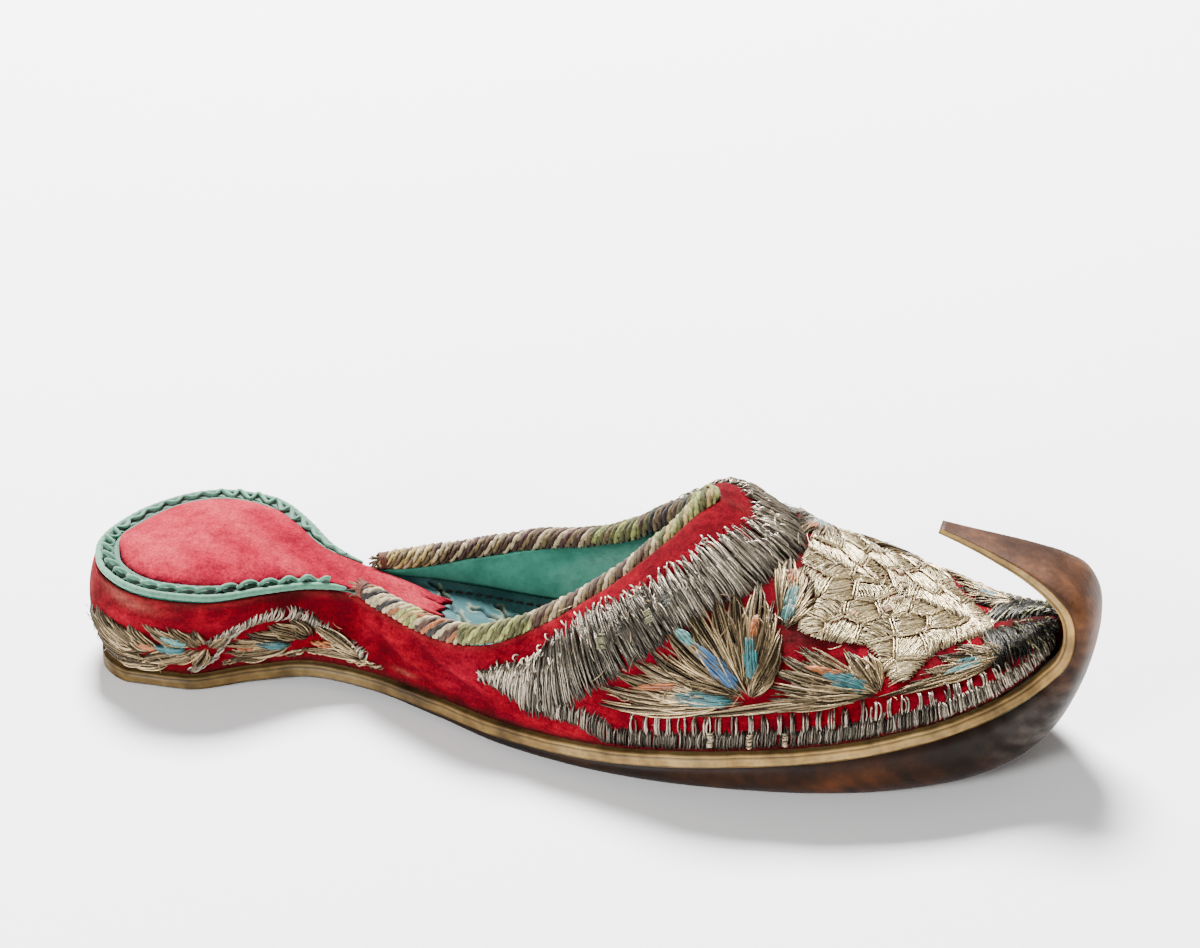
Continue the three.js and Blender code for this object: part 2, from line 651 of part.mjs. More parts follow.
// Room for the cord at the throat, where its two sides meet in a tight bend.
function throatSeat() {
  const bend = collarLine().slice(CORD_SAMPLES - 3, CORD_SAMPLES + 4);
  return tube(bend, CORD_RADIUS + GAP, CORD_SIDES * 2, CORD_SIDES * 2);
}

// A line round the heel seat, set in from the wall's top edge, open at the neck.
function seatLine(inset, lift, short) {
  const to = ribStops[NECK_ROW] - short;
  const samples = 18;
  const line = [];
  for (let i = 0; i <= samples; i += 1) {
    const stop = lerp(0, to, i / samples);
    const row = ribCurve(stop);
    const [before, after] = [ribCurve(Math.max(0, stop - RIB_PROBE)), ribCurve(stop + RIB_PROBE)];
    const along = new THREE.Vector2(after.x - before.x, after.half - before.half).normalize();
    if (i === 0) along.set(0, 1);
    const y = i === 0 ? 0 : row.half - along.x * inset;
    line.push(new THREE.Vector3(row.x + along.y * inset, y, row.z + lift));
  }
  return [...line.slice(1).reverse().map(mirrored), ...line];
}

function lowerPiping() {
  return tube(seatLine(1, PIPING_RADIUS + GAP, 3), PIPING_RADIUS, TRIM_SIDES, TRIM_STEPS);
}

function upperPiping() {
  return tube(seatLine(5.2, 1.3, 14), TRIM_RADIUS, TRIM_SIDES, TRIM_STEPS);
}

// The green ribbon between the two pipings, pleated up and down.
function frill() {
  const outer = new THREE.CatmullRomCurve3(seatLine(2.4, 0.4, 14), false, "centripetal");
  const inner = new THREE.CatmullRomCurve3(seatLine(4, 0.4, 14), false, "centripetal");
  const steps = PLEATS * 4;
  const rings = [];
  for (let i = 0; i <= steps; i += 1) {
    const [a, b] = [outer.getPoint(i / steps), inner.getPoint(i / steps)];
    const height = 1.3 + 0.4 * Math.sin((i / 4) * 2 * Math.PI);
    rings.push([a, b, b.clone().setZ(b.z + height), a.clone().setZ(a.z + height)]);
  }
  return ringBody(rings);
}

const FINISHES = {
  outsole: { color: 0x8c6a3c, roughness: 0.55 },
  upper: { color: 0xb5182a, roughness: 0.95 },
  heel_block: { color: 0x9c7b52, roughness: 0.8 },
  insole: { color: 0x3f7f86, roughness: 0.7 },
  heel_pad: { color: 0xc8425a, roughness: 0.95 },
  collar_cord: { color: 0xa39a6a, roughness: 0.9 },
  heel_piping_lower: { color: 0x4f9c86, roughness: 0.7 },
  heel_piping_upper: { color: 0x4f9c86, roughness: 0.7 },
  heel_frill: { color: 0x4f9c86, roughness: 0.7 },
};

const SOLIDS = {
  outsole: outsole(),
  upper: upper(),
  heel_block: heelBlock(),
  insole: insole(),
  heel_pad: heelPad(),
  collar_cord: collarCord(),
  heel_piping_lower: lowerPiping(),
  heel_piping_upper: upperPiping(),
  heel_frill: frill(),
};

const shoe = new THREE.Group();
for (const [name, solid] of Object.entries(SOLIDS)) {
  const mesh = new THREE.Mesh(geometryOf(solid), new THREE.MeshStandardMaterial(FINISHES[name]));
  mesh.name = name;
  mesh.position.x = -ORIGIN_FROM_HEEL;
  shoe.add(mesh);
}

export default shoe;
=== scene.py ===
"""Looks of a curled-toe embroidered mule: leather sole, velvet upper, metal thread work."""

import logging
import math
from dataclasses import dataclass, field
from enum import Enum
from typing import Callable, NamedTuple, Sequence

import bpy
import numpy as np
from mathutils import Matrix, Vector


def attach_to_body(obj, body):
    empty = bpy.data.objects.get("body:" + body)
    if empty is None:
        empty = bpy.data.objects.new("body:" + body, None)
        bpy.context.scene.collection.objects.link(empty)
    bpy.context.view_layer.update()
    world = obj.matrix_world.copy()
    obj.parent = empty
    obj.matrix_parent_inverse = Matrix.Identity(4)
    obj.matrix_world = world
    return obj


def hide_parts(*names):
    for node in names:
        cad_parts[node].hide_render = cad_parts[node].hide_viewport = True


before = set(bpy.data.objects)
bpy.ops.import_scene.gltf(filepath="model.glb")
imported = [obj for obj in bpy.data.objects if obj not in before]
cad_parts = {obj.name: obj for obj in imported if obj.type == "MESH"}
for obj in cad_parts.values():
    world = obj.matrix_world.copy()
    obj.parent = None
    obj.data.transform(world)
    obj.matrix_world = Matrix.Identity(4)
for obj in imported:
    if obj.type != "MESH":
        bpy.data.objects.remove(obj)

LOG = logging.getLogger("mule")
MM = 0.001
ORIGIN_FROM_HEEL = 121.7
RIM_GAP = 0.3
RNG = np.random.default_rng(1868)

Array = np.ndarray
Colour = tuple[float, float, float]


# The shoe's own form, in millimetres measured forwards from the heel.


class SoleRow(NamedTuple):
    """One cross-section of the outsole."""

    x: float
    keel: float
    lean: float
    half: float
    flat: float
    rise: float
    band: float
    thick: float


class RibRow(NamedTuple):
    """One rib of the upper's wall, from its foot on the sole to its top."""

    foot: float
    x: float
    half: float
    z: float
    bulge: float
    shoulder: float


class BedRow(NamedTuple):
    """One cross-section of the inside floor."""

    x: float
    z: float
    half: float
    lift: float


class PadRow(NamedTuple):
    """One cross-section of the heel cushion and its tongue."""

    x: float
    half: float
    under: float
    crown: float


SOLE_ROWS = [
    SoleRow(3.8, 0, 0, 0, 0.93, 0.4, 3.0, 4),
    SoleRow(5, 0, 0, 9.6, 0.93, 0.4, 3.0, 4),
    SoleRow(9.2, 0, 0, 18, 0.93, 0.4, 3.0, 4),
    SoleRow(17, 0, 0, 22.6, 0.93, 0.4, 3.0, 4),
    SoleRow(30, 0, 0, 22.6, 0.92, 0.4, 3.0, 4),
    SoleRow(45, 0.9, 0, 16.8, 0.88, 0.5, 3.2, 4.2),
    SoleRow(60, 2.4, 0, 13.9, 0.84, 0.6, 3.2, 4.2),
    SoleRow(75, 2, 0, 16, 0.82, 0.8, 3.2, 4.2),
    SoleRow(92, 0.7, 0, 22.2, 0.8, 1.9, 3.2, 4.2),
    SoleRow(112, 0, 0, 31.8, 0.76, 3.6, 3.2, 4.2),
    SoleRow(136, 0, 0, 39.2, 0.7, 5.8, 3.2, 4.2),
    SoleRow(162, 0, 0, 42.2, 0.64, 9.7, 3.2, 4.2),
    SoleRow(186, 0, 1, 40.6, 0.58, 13.4, 3.2, 4.2),
    SoleRow(206, 0.5, 9, 35.2, 0.5, 16, 3.2, 4.2),
    SoleRow(220, 2.2, 18, 29.6, 0.36, 17.2, 3.1, 4.2),
    SoleRow(229.2, 5.8, 26, 24.4, 0.22, 16.2, 3.1, 4.1),
    SoleRow(235.6, 11.8, 33, 19, 0.12, 13, 3.0, 3.8),
    SoleRow(239.4, 19.4, 44, 14.8, 0.08, 8.7, 3.0, 3.5),
    SoleRow(241.8, 27.4, 62, 12.8, 0.05, 5.2, 2.9, 3.3),
    SoleRow(242.8, 34.4, 80, 12.2, 0.05, 4.4, 2.8, 3.1),
    SoleRow(242.2, 40, 94, 12, 0.05, 4.2, 2.7, 3),
    SoleRow(239.4, 44.4, 112, 11.6, 0.05, 3.2, 2.6, 2.9),
    SoleRow(234.4, 47.4, 134, 10, 0.1, 2, 2.5, 2.7),
    SoleRow(227.6, 49.8, 152, 7.6, 0.15, 1, 2.3, 2.4),
    SoleRow(219.6, 52, 161, 5.2, 0.2, 0.5, 2.0, 2.1),
    SoleRow(212, 53.9, 164, 3.2, 0.2, 0.3, 1.7, 1.8),
    SoleRow(205.8, 55.4, 164, 2, 0.2, 0.2, 1.5, 1.6),
]

RIB_ROWS = [
    RibRow(5.3, 2.2, 0, 24.6, 4.2, 0),
    RibRow(6.6, 3.6, 7.4, 24.8, 4, 0),
    RibRow(10.4, 8, 16, 25.4, 3.4, 0),
    RibRow(18, 16.5, 24, 26.2, 2.4, 0),
    RibRow(28.5, 28, 27.6, 26.6, 1.6, 0),
    RibRow(39.5, 40, 25.8, 26.4, 1, 0),
    RibRow(50, 50, 18.2, 25.6, 0.2, 0),
    RibRow(58.5, 58.5, 10.6, 24, -0.6, 0),
    RibRow(67, 67, 7.6, 22.6, -0.6, 0),
    RibRow(79, 79, 14, 21.8, 0.4, 0),
    RibRow(93, 93, 22.2, 22.2, 1.2, 0.05),
    RibRow(106, 106, 25.8, 24.5, 1.4, 0.15),
    RibRow(118.5, 119, 22.8, 30, 1.6, 0.35),
    RibRow(131, 131.5, 17, 37.5, 1.8, 0.45),
    RibRow(144.5, 144.5, 10.2, 48, 2, 0.5),
    RibRow(154.5, 155, 0, 55.4, 2.2, 0.5),
    RibRow(165, 166, 0, 49.9, 2.4, 0.5),
    RibRow(178, 178.5, 0, 43.2, 2.6, 0.52),
    RibRow(192, 192, 0, 37.4, 2.4, 0.54),
    RibRow(206, 206, 0, 32.8, 2, 0.56),
    RibRow(216, 216, 0, 30.6, 1.4, 0.58),
    RibRow(224, 224, 0, 32.4, 0.8, 0.55),
    RibRow(231.6, 231, 0, 34.4, 0.2, 0.5),
    RibRow(235.3, 234.4, 0, 34.5, 0, 0),
]
NECK_ROW = 8
THROAT_ROW = 15

BED_ROWS = [
    BedRow(52.2, 25, 7.6, 0),
    BedRow(59, 24, 5.4, 0),
    BedRow(67, 22.7, 4.2, 0),
    BedRow(78, 19.6, 10, 0.2),
    BedRow(92, 14.4, 17.6, 0.6),
    BedRow(106, 9.7, 23.4, 1),
    BedRow(120, 7, 27.2, 1.6),
    BedRow(140, 6.2, 31.2, 2.6),
    BedRow(162, 6.2, 32.6, 4.2),
    BedRow(184, 6.4, 30.4, 6.2),
    BedRow(202, 7.4, 25.6, 7.4),
    BedRow(216, 9.8, 19.2, 8),
    BedRow(226, 13.6, 12, 6.6),
]

PAD_ROWS = [
    PadRow(9.4, 0, 25.3, 1.9),
    PadRow(10.7, 6.2, 25.4, 3),
    PadRow(14.8, 12.6, 25.7, 4.2),
    PadRow(21.8, 17.8, 26.2, 5),
    PadRow(30, 19.7, 26.5, 5.3),
    PadRow(39, 18, 26.4, 4.7),
    PadRow(48, 11.2, 25.8, 3.5),
    PadRow(55.5, 5.8, 24.9, 2.3),
    PadRow(64, 4.2, 23.6, 1.5),
    PadRow(74, 4.7, 21.3, 1.1),
    PadRow(84, 5.2, 17.9, 0.9),
    PadRow(87, 4.9, 16.7, 0.9),
]


class RowCurve:
    """Smooth curve through the rows of a table."""

    def __init__(self, rows: Sequence[NamedTuple], stops: Array, mirrored: Sequence[str] = ()) -> None:
        """Works out each column's slope at each row.

        Args:
            rows: the table, all rows of one kind.
            stops: where on the curve each row lies.
            mirrored: columns that change sign across the middle plane.
        """
        self.columns = rows[0]._fields
        self.values = np.array(rows, float)
        self.stops = np.asarray(stops, float)
        chord = np.diff(self.values, axis=0) / np.diff(self.stops)[:, None]
        self.slopes = np.zeros_like(self.values)
        for column, name in enumerate(self.columns):
            self._set_slopes(column, chord[:, column], name in mirrored)

    def _set_slopes(self, column: int, chord: Array, is_mirrored: bool) -> None:
        """Slopes of one column, kept level where its chords turn.

        Args:
            column: which column.
            chord: slope from each row to the next.
            is_mirrored: whether the column changes sign across the middle plane.
        """
        last = len(self.stops) - 1
        for i in range(last + 1):
            if i == 0:
                slope = chord[0] if is_mirrored else 0.0
            elif i == last:
                slope = chord[-1]
            else:
                before, after = chord[i - 1], chord[i]
                if is_mirrored and self.values[i, column] == 0 and before < 0:
                    slope = 1.4 * before
                elif before * after <= 0:
                    slope = 0.0
                else:
                    gap_before = self.stops[i] - self.stops[i - 1]
                    gap_after = self.stops[i + 1] - self.stops[i]
                    mean = (before * gap_after + after * gap_before) / (gap_before + gap_after)
                    slope = math.copysign(min(abs(mean), 3 * min(abs(before), abs(after))), mean)
            self.slopes[i, column] = slope

    def at(self, stop: Array) -> dict[str, Array]:
        """Columns of the curve at one or many stops.

        Args:
            stop: where on the curve, any shape.

        Returns:
            Each column's values by its name, in the shape of stop.
        """
        stop = np.asarray(stop, float)
        i = np.clip(np.searchsorted(self.stops, stop, side="left") - 1, 0, len(self.stops) - 2)
        width = self.stops[i + 1] - self.stops[i]
        t = np.clip((stop - self.stops[i]) / width, 0, 1)
        u = 1 - t
        low, high = u * u * (1 + 2 * t), t * t * (3 - 2 * t)
        first, second = t * u * u * width, t * t * u * width
        return {
            name: self.values[i, c] * low + self.values[i + 1, c] * high
            + self.slopes[i, c] * first - self.slopes[i + 1, c] * second
            for c, name in enumerate(self.columns)
        }


def walked(rows: Sequence[NamedTuple], *columns: str) -> Array:
    """Distance walked from row to row over some columns.

    Args:
        rows: the table.
        columns: the columns that the distance is taken over.

    Returns:
        One stop for each row, from 0.
    """
    values = np.array([[getattr(row, c) for c in columns] for row in rows], float)
    return np.concatenate([[0], np.cumsum(np.linalg.norm(np.diff(values, axis=0), axis=1))])


def unit(vectors: Array) -> Array:
    """Vectors scaled to length 1 along their last axis."""
    return vectors / np.maximum(np.linalg.norm(vectors, axis=-1, keepdims=True), 1e-9)


def mirrored(points: Array) -> Array:
    """Points on the other side of the middle plane."""
    return points * np.array([1.0, -1.0, 1.0])


def smoothstep(low: float, high: float, value: Array) -> Array:
    """Soft step from 0 at low to 1 at high."""
    t = np.clip((np.asarray(value, float) - low) / (high - low), 0, 1)
    return t * t * (3 - 2 * t)


class SoleForm:
    """Outer form of the leather sole, from the heel under the toe and up the curl."""

    lip_width = 4.2
    hull_fullness = 2.5
    dish_fullness = 2.3

    def __init__(self) -> None:
        """Makes the curve through the sole's rows."""
        self.curve = RowCurve(SOLE_ROWS, walked(SOLE_ROWS, "x", "keel", "half"), ["half"])
        self.end = self.curve.stops[-1]

    def on_section(self, row: dict[str, Array], y: Array, up: Array) -> Array:
        """Points of leaning sections.

        Args:
            row: columns of the sections.
            y: distance to the side.
            up: distance along the section's lean.

        Returns:
            Points, with a last axis of 3.
        """
        lean = np.radians(row["lean"])
        x = row["x"] - up * np.sin(lean)
        return np.stack(np.broadcast_arrays(x, y, row["keel"] + up * np.cos(lean)), axis=-1)

    def lip(self, row: dict[str, Array]) -> Array:
        """Margin of the sole, narrow where the sole turns into the slender curl."""
        return np.minimum(self.lip_width, row["half"] * 0.3)

    def edge_line(self, samples: int = 400) -> tuple[Array, Array]:
        """Upper outer edge of the sole's cut edge, with the lean at each point."""
        row = self.curve.at(np.linspace(0, self.end, samples + 1))
        return self.on_section(row, row["half"], row["rise"] + row["band"]), row["lean"]


class WallForm:
    """Outer face of the upper's wall, as ribs that stand on the sole's margin."""

    wall = 2.0
    foot_inset = 1.5
    gap = RIM_GAP
    toe_turn = 222.0
    toe_end = (235.3, 0.0, 31.9)
    probe = 0.5
    rim_share = 0.88
    heel_reach = 40.0

    def __init__(self, sole: SoleForm) -> None:
        """Lays the wall's foot on the sole and makes the curve through the ribs.

        Args:
            sole: the form that the wall stands on.
        """
        self.foot = self._foot_line(sole)
        steps = np.linalg.norm(np.diff(self.foot, axis=0), axis=1)
        self.lengths = np.concatenate([[0], np.cumsum(steps)])
        walks = [self._distance_at_x(row.foot) for row in RIB_ROWS]
        walks[0], walks[-1] = 0.0, self.lengths[-1]
        widened = NamedTuple("WalkedRib", [(name, float) for name in (*RibRow._fields, "walk")])
        rows = [widened(*row, walk) for row, walk in zip(RIB_ROWS, walks)]
        self.curve = RowCurve(rows, np.array(walks) - walks[0], ["half", "walk"])
        self.end = self.curve.stops[-1]
        self.neck = self.curve.stops[NECK_ROW]
        self.throat = self.curve.stops[THROAT_ROW]
        self._measure()

    def _foot_line(self, sole: SoleForm) -> Array:
        """Line on the sole's margin where the wall stands, from heel to toe."""
        edge, lean = sole.edge_line()
        stop = int(np.argmax((edge[:, 0] > self.toe_turn) | (lean > 60)))
        edge = edge[:stop]
        after = edge[np.minimum(np.arange(stop) + 1, stop - 1)]
        before = edge[np.maximum(np.arange(stop) - 1, 0)]
        along = unit((after - before)[:, :2])
        line = edge.copy()
        line[:, 0] += along[:, 1] * self.foot_inset
        line[:, 1] = np.maximum(0, edge[:, 1] - along[:, 0] * self.foot_inset)
        line[:, 2] += self.gap
        line[0] = edge[0] + [self.foot_inset, 0, self.gap]
        last, end = line[-1], np.array(self.toe_end)
        heading = unit(last - line[-3])
        reach = (end[0] - last[0]) * 0.75
        knots = [last, last + heading * reach, np.array([end[0], last[1] * 0.42, end[2]]), end]
        turn = bezier(np.array(knots)[None], np.linspace(0, 1, 25)[1:])[0]
        return np.concatenate([line, turn])

    def _distance_at_x(self, x: float) -> float:
        """Distance along the wall's foot at which it has a given x."""
        i = int(np.argmax(self.foot[:, 0] >= x))
        if i == 0:
            return 0.0 if self.foot[0, 0] >= x else float(self.lengths[-1])
        t = (x - self.foot[i - 1, 0]) / (self.foot[i, 0] - self.foot[i - 1, 0])
        return float(self.lengths[i - 1] + t * (self.lengths[i] - self.lengths[i - 1]))

    def knots(self, stop: Array) -> Array:
        """Four Bezier knots of each rib.

        Args:
            stop: ribs along the wall's foot, one axis.

        Returns:
            Array of ribs by 4 by 3.
        """
        row = self.curve.at(stop)
        foot = np.stack([np.interp(row["walk"], self.lengths, self.foot[:, k]) for k in range(3)], -1)
        top = np.stack([row["x"], np.maximum(0, row["half"]), row["z"]], -1)
        height, inward = top[:, 2] - foot[:, 2], foot[:, 1] - top[:, 1]
        turn = np.where(
            row["walk"] < self.heel_reach,
            np.cos(np.clip(row["walk"] / self.heel_reach, 0, 1) * math.pi / 2),
            0.0,
        )
        side = np.sqrt(np.maximum(0, 1 - turn**2))
        out = np.stack([-row["bulge"] * turn, row["bulge"] * side, np.zeros_like(turn)], -1)
        low = foot + out * 1.3
        low[:, 0] += (top[:, 0] - low[:, 0]) * 0.3
        low[:, 2] += height * 0.42
        high = top + out * 1.2
        high[:, 0] += (foot[:, 0] - high[:, 0]) * 0.3
        high[:, 1] += inward * row["shoulder"]
        high[:, 2] -= height * (0.34 - 0.32 * np.minimum(1, row["shoulder"] * 2))
        middle = foot[:, 1] < 1e-6
        low[middle, 1] = 0
        high[middle, 1] = 0
        return np.stack([foot, low, high, top], 1)

    def face(self, stop: Array, share: Array, side: Array) -> tuple[Array, Array]:
        """Points and outward normals of the wall's outer face.

        Args:
            stop: distance along the foot, one axis.
            share: height share up the rib, from 0 at the foot to 1, one axis.
            side: 1 or -1, the side of the middle plane, one axis.

        Returns:
            Points and normals, each of the same length by 3.
        """
        probe = self.probe
        here = bezier_each(self.knots(stop), share)
        ahead = bezier_each(self.knots(np.minimum(stop + probe, self.end)), share)
        behind = bezier_each(self.knots(np.maximum(stop - probe, 0)), share)
        above = bezier_each(self.knots(stop), np.minimum(share + 0.02, 1))
        below = bezier_each(self.knots(stop), np.maximum(share - 0.02, 0))
        along = ahead - behind
        at_heel = stop < probe
        along[at_heel] = [0.0, 1.0, 0.0]
        normal = unit(np.cross(above - below, along))
        top = (share > 0.985) & (stop >= self.throat)
        normal[top, 1] *= 0
        normal = unit(normal)
        flip = np.stack([np.ones_like(side), side, np.ones_like(side)], -1)
        return here * flip, normal * flip

    def _measure(self) -> None:
        """Length of each rib up to each share, for placing work by distance."""
        self.measure_stops = np.linspace(0, self.end, 420)
        self.measure_shares = np.linspace(0, 1, 61)
        ribs = bezier(self.knots(self.measure_stops), self.measure_shares)
        steps = np.linalg.norm(np.diff(ribs, axis=1), axis=2)
        self.measure = np.concatenate([np.zeros((len(ribs), 1)), np.cumsum(steps, 1)], 1)
        self.rib_x = ribs[:, -1, 0]

    def height_at(self, stop: Array) -> Array:
        """Whole length of the ribs at some stops."""
        return np.interp(stop, self.measure_stops, self.measure[:, -1])

    def share_at(self, stop: Array, up: Array) -> Array:
        """Height share at a distance up the wall from its foot.

        Args:
            stop: distance along the foot, one axis.
            up: distance up the rib in millimetres, one axis.

        Returns:
            Share of each, from 0 to 1.
        """
        place = np.clip(np.asarray(stop) / self.end * (len(self.measure_stops) - 1), 0, None)
        low = np.minimum(place.astype(int), len(self.measure_stops) - 2)
        t = (place - low)[:, None]
        lengths = self.measure[low] * (1 - t) + self.measure[low + 1] * t
        up = np.clip(np.asarray(up, float), 0, lengths[:, -1])
        above = np.sum(lengths[:, 1:-1] < up[:, None], axis=1)
        rows = np.arange(len(up))
        first, second = lengths[rows, above], lengths[rows, above + 1]
        part = (up - first) / np.maximum(second - first, 1e-9)
        return (above + part) / (len(self.measure_shares) - 1)

    def stop_at(self, x: Array) -> Array:
        """Distance along the foot of the rib whose top has a given x."""
        return np.interp(x, self.rib_x, self.measure_stops)

    def rim_line(self, first: float, last: float, height: float, samples: int) -> Array:
        """Line that rides above the middle of the wall's top edge.

        Args:
            first: rib stop where it starts.
            last: rib stop where it ends, the throat.
            height: distance above the edge.
            samples: number of stretches.

        Returns:
            Points from first to last.
        """
        stop = np.linspace(first, last, samples + 1)
        back, here, ahead = (self.knots(stop + shift) for shift in (-self.probe, 0, self.probe))
        end = np.ones_like(stop)
        before, after = bezier_each(back, end), bezier_each(ahead, end)
        after[-1] = mirrored(before[-1])
        along = unit(after - before)
        share = end * self.rim_share
        forward = bezier_each(ahead, share) - bezier_each(back, share)
        rising = bezier_each(here, share + 0.01) - bezier_each(here, share - 0.01)
        face = unit(np.cross(forward, rising))
        face[-1, 1] = 0
        face = unit(face)
        up = unit(np.cross(face, along))
        return bezier_each(here, end) + face * self.wall / 2 + up * height


def bezier(knots: Array, t: Array) -> Array:
    """Points of cubic curves.

    Args:
        knots: curves by 4 by 3.
        t: parameters, the same for every curve.

    Returns:
        Curves by parameters by 3.
    """
    t = t[None, :, None]
    u = 1 - t
    a, b, c, d = (knots[:, k, None, :] for k in range(4))
    return a * u**3 + b * 3 * u * u * t + c * 3 * u * t * t + d * t**3


def bezier_each(knots: Array, t: Array) -> Array:
    """One point of each cubic curve, at its own parameter."""
    t = np.asarray(t, float)[:, None]
    u = 1 - t
    a, b, c, d = (knots[:, k] for k in range(4))
    return a * u**3 + b * 3 * u * u * t + c * 3 * u * t * t + d * t**3


def resample(points: Array, count: int, closed: bool = False) -> Array:
    """Points evenly spaced along a smooth line through others.

    Args:
        points: the line's knots.
        count: how many points to return.
        closed: whether the line runs round to its start.

    Returns:
        Points, count by 3.
    """
    knots = np.vstack([points, points[:1]]) if closed else points
    steps = np.sqrt(np.linalg.norm(np.diff(knots, axis=0), axis=1))
    at = np.concatenate([[0], np.cumsum(steps)])
    ends = (2 * knots[0] - knots[1], 2 * knots[-1] - knots[-2])
    padded = np.vstack([ends[0], knots, ends[1]])
    spans = np.concatenate([[steps[0]], steps, [steps[-1]]])
    dense = []
    for i in range(1, len(padded) - 2):
        before, here, after = spans[i - 1], spans[i], spans[i + 1]
        p0, p1, p2, p3 = padded[i - 1 : i + 3]
        m1 = here * ((p1 - p0) / before - (p2 - p0) / (before + here) + (p2 - p1) / here)
        m2 = here * ((p2 - p1) / here - (p3 - p1) / (here + after) + (p3 - p2) / after)
        t = np.linspace(0, 1, 12, endpoint=False)[:, None]
        dense.append(
            (2 * t**3 - 3 * t**2 + 1) * p1 + (t**3 - 2 * t**2 + t) * m1
            + (3 * t**2 - 2 * t**3) * p2 + (t**3 - t**2) * m2
        )
    line = np.vstack([*dense, knots[-1:]])
    length = np.concatenate([[0], np.cumsum(np.linalg.norm(np.diff(line, axis=0), axis=1))])
    where = np.linspace(0, length[-1], count)
    return np.stack([np.interp(where, length, line[:, k]) for k in range(3)], -1)


class RidgeRow(NamedTuple):
    """A soft ridge or trough on the wall, between two places given along and up."""

    s0: float
    u0: float
    s1: float
    u1: float
    width: float
    height: float


@dataclass(frozen=True)
class Relief:
    """Creases and padding of the velvet: how far it stands off the plain wall."""

    ridges: tuple[RidgeRow, ...]

    def at(self, s: Array, u: Array) -> Array:
        """Height of the cloth at places on the wall.

        Args:
            s: distance along the foot of the wall.
            u: distance up the wall.

        Returns:
            The height at each place.
        """
        rise = np.zeros(np.shape(s))
        for ridge in self.ridges:
            run = np.array([ridge.s1 - ridge.s0, ridge.u1 - ridge.u0])
            size = max(1e-6, run @ run)
            along = np.clip(((s - ridge.s0) * run[0] + (u - ridge.u0) * run[1]) / size, 0, 1)
            off = (s - ridge.s0 - along * run[0]) ** 2 + (u - ridge.u0 - along * run[1]) ** 2
            rise += ridge.height * np.exp(-off / ridge.width**2)
        return rise


# Meshes.


class MeshKit:
    """Turns arrays of points and faces into Blender objects."""

    @staticmethod
    def make(
        name: str,
        points: Array,
        faces: Array,
        looks: Sequence[bpy.types.Material],
        look_of: Array | None = None,
        tints: Array | None = None,
        weld: bool = False,
    ) -> bpy.types.Object:
        """Makes one smooth-shaded object.

        Args:
            name: the object's name.
            points: points in millimetres from the heel, count by 3.
            faces: quads or triangles, one row of point numbers each.
            looks: materials.
            look_of: which material each face wears.
            tints: colour of each point, kept as the attribute tint.
            weld: whether points that coincide become one.

        Returns:
            The object, linked to the scene.
        """
        mesh = bpy.data.meshes.new(name)
        placed = (np.asarray(points, float) - [ORIGIN_FROM_HEEL, 0, 0]) * MM
        faces = np.asarray(faces, np.int32)
        mesh.vertices.add(len(placed))
        mesh.vertices.foreach_set("co", placed.astype(np.float32).ravel())
        sides = faces.shape[1]
        mesh.loops.add(faces.size)
        mesh.loops.foreach_set("vertex_index", faces.ravel())
        mesh.polygons.add(len(faces))
        mesh.polygons.foreach_set("loop_start", np.arange(0, faces.size, sides, dtype=np.int32))
        for look in looks:
            mesh.materials.append(look)
        if look_of is not None:
            mesh.polygons.foreach_set("material_index", np.asarray(look_of, np.int32))
        mesh.polygons.foreach_set("use_smooth", np.ones(len(faces), bool))
        if tints is not None:
            layer = mesh.attributes.new("tint", "FLOAT_COLOR", "POINT")
            rgba = np.concatenate([tints, np.ones((len(tints), 1))], 1)
            layer.data.foreach_set("color", rgba.astype(np.float32).ravel())
        mesh.update(calc_edges=True)
        mesh.validate()
        if weld:
            MeshKit.weld(mesh)
        piece = bpy.data.objects.new(name, mesh)
        bpy.context.scene.collection.objects.link(piece)
        return piece

    @staticmethod
    def weld(mesh: bpy.types.Mesh) -> None:
        """Joins points that coincide and turns the faces outwards."""
        import bmesh

        work = bmesh.new()
        work.from_mesh(mesh)
        bmesh.ops.remove_doubles(work, verts=work.verts, dist=0.02 * MM)
        bmesh.ops.dissolve_degenerate(work, edges=work.edges, dist=0.005 * MM)
        bmesh.ops.recalc_face_normals(work, faces=work.faces)
        work.to_mesh(mesh)
        work.free()

    @staticmethod
    def grid_faces(rows: int, columns: int, wrap: bool = False, start: int = 0) -> Array:
        """Quads over a grid of points stored row by row.

        Args:
            rows: number of rows of points.
            columns: number of points in a row.
            wrap: whether each row closes on itself.
            start: number of the grid's first point.

        Returns:
            Quads, one row of four point numbers each.
        """
        i, j = np.meshgrid(np.arange(rows - 1), np.arange(columns if wrap else columns - 1), indexing="ij")
        k = (j + 1) % columns
        quads = np.stack([i * columns + j, i * columns + k, (i + 1) * columns + k, (i + 1) * columns + j], -1)
        return quads.reshape(-1, 4) + start

    @staticmethod
    def end_fan(start: int, count: int, flip: bool) -> Array:
        """Quads that close a ring of an even number of points, laid across it.

        Args:
            start: number of the ring's first point.
            count: number of points in the ring.
            flip: whether the faces look the other way.

        Returns:
            Quads across the ring.
        """
        half = count // 2
        j = np.arange(half - 1)
        quads = np.stack([start + j, start + j + 1, start + count - 2 - j, start + count - 1 - j], -1)
        return quads[:, ::-1] if flip else quads


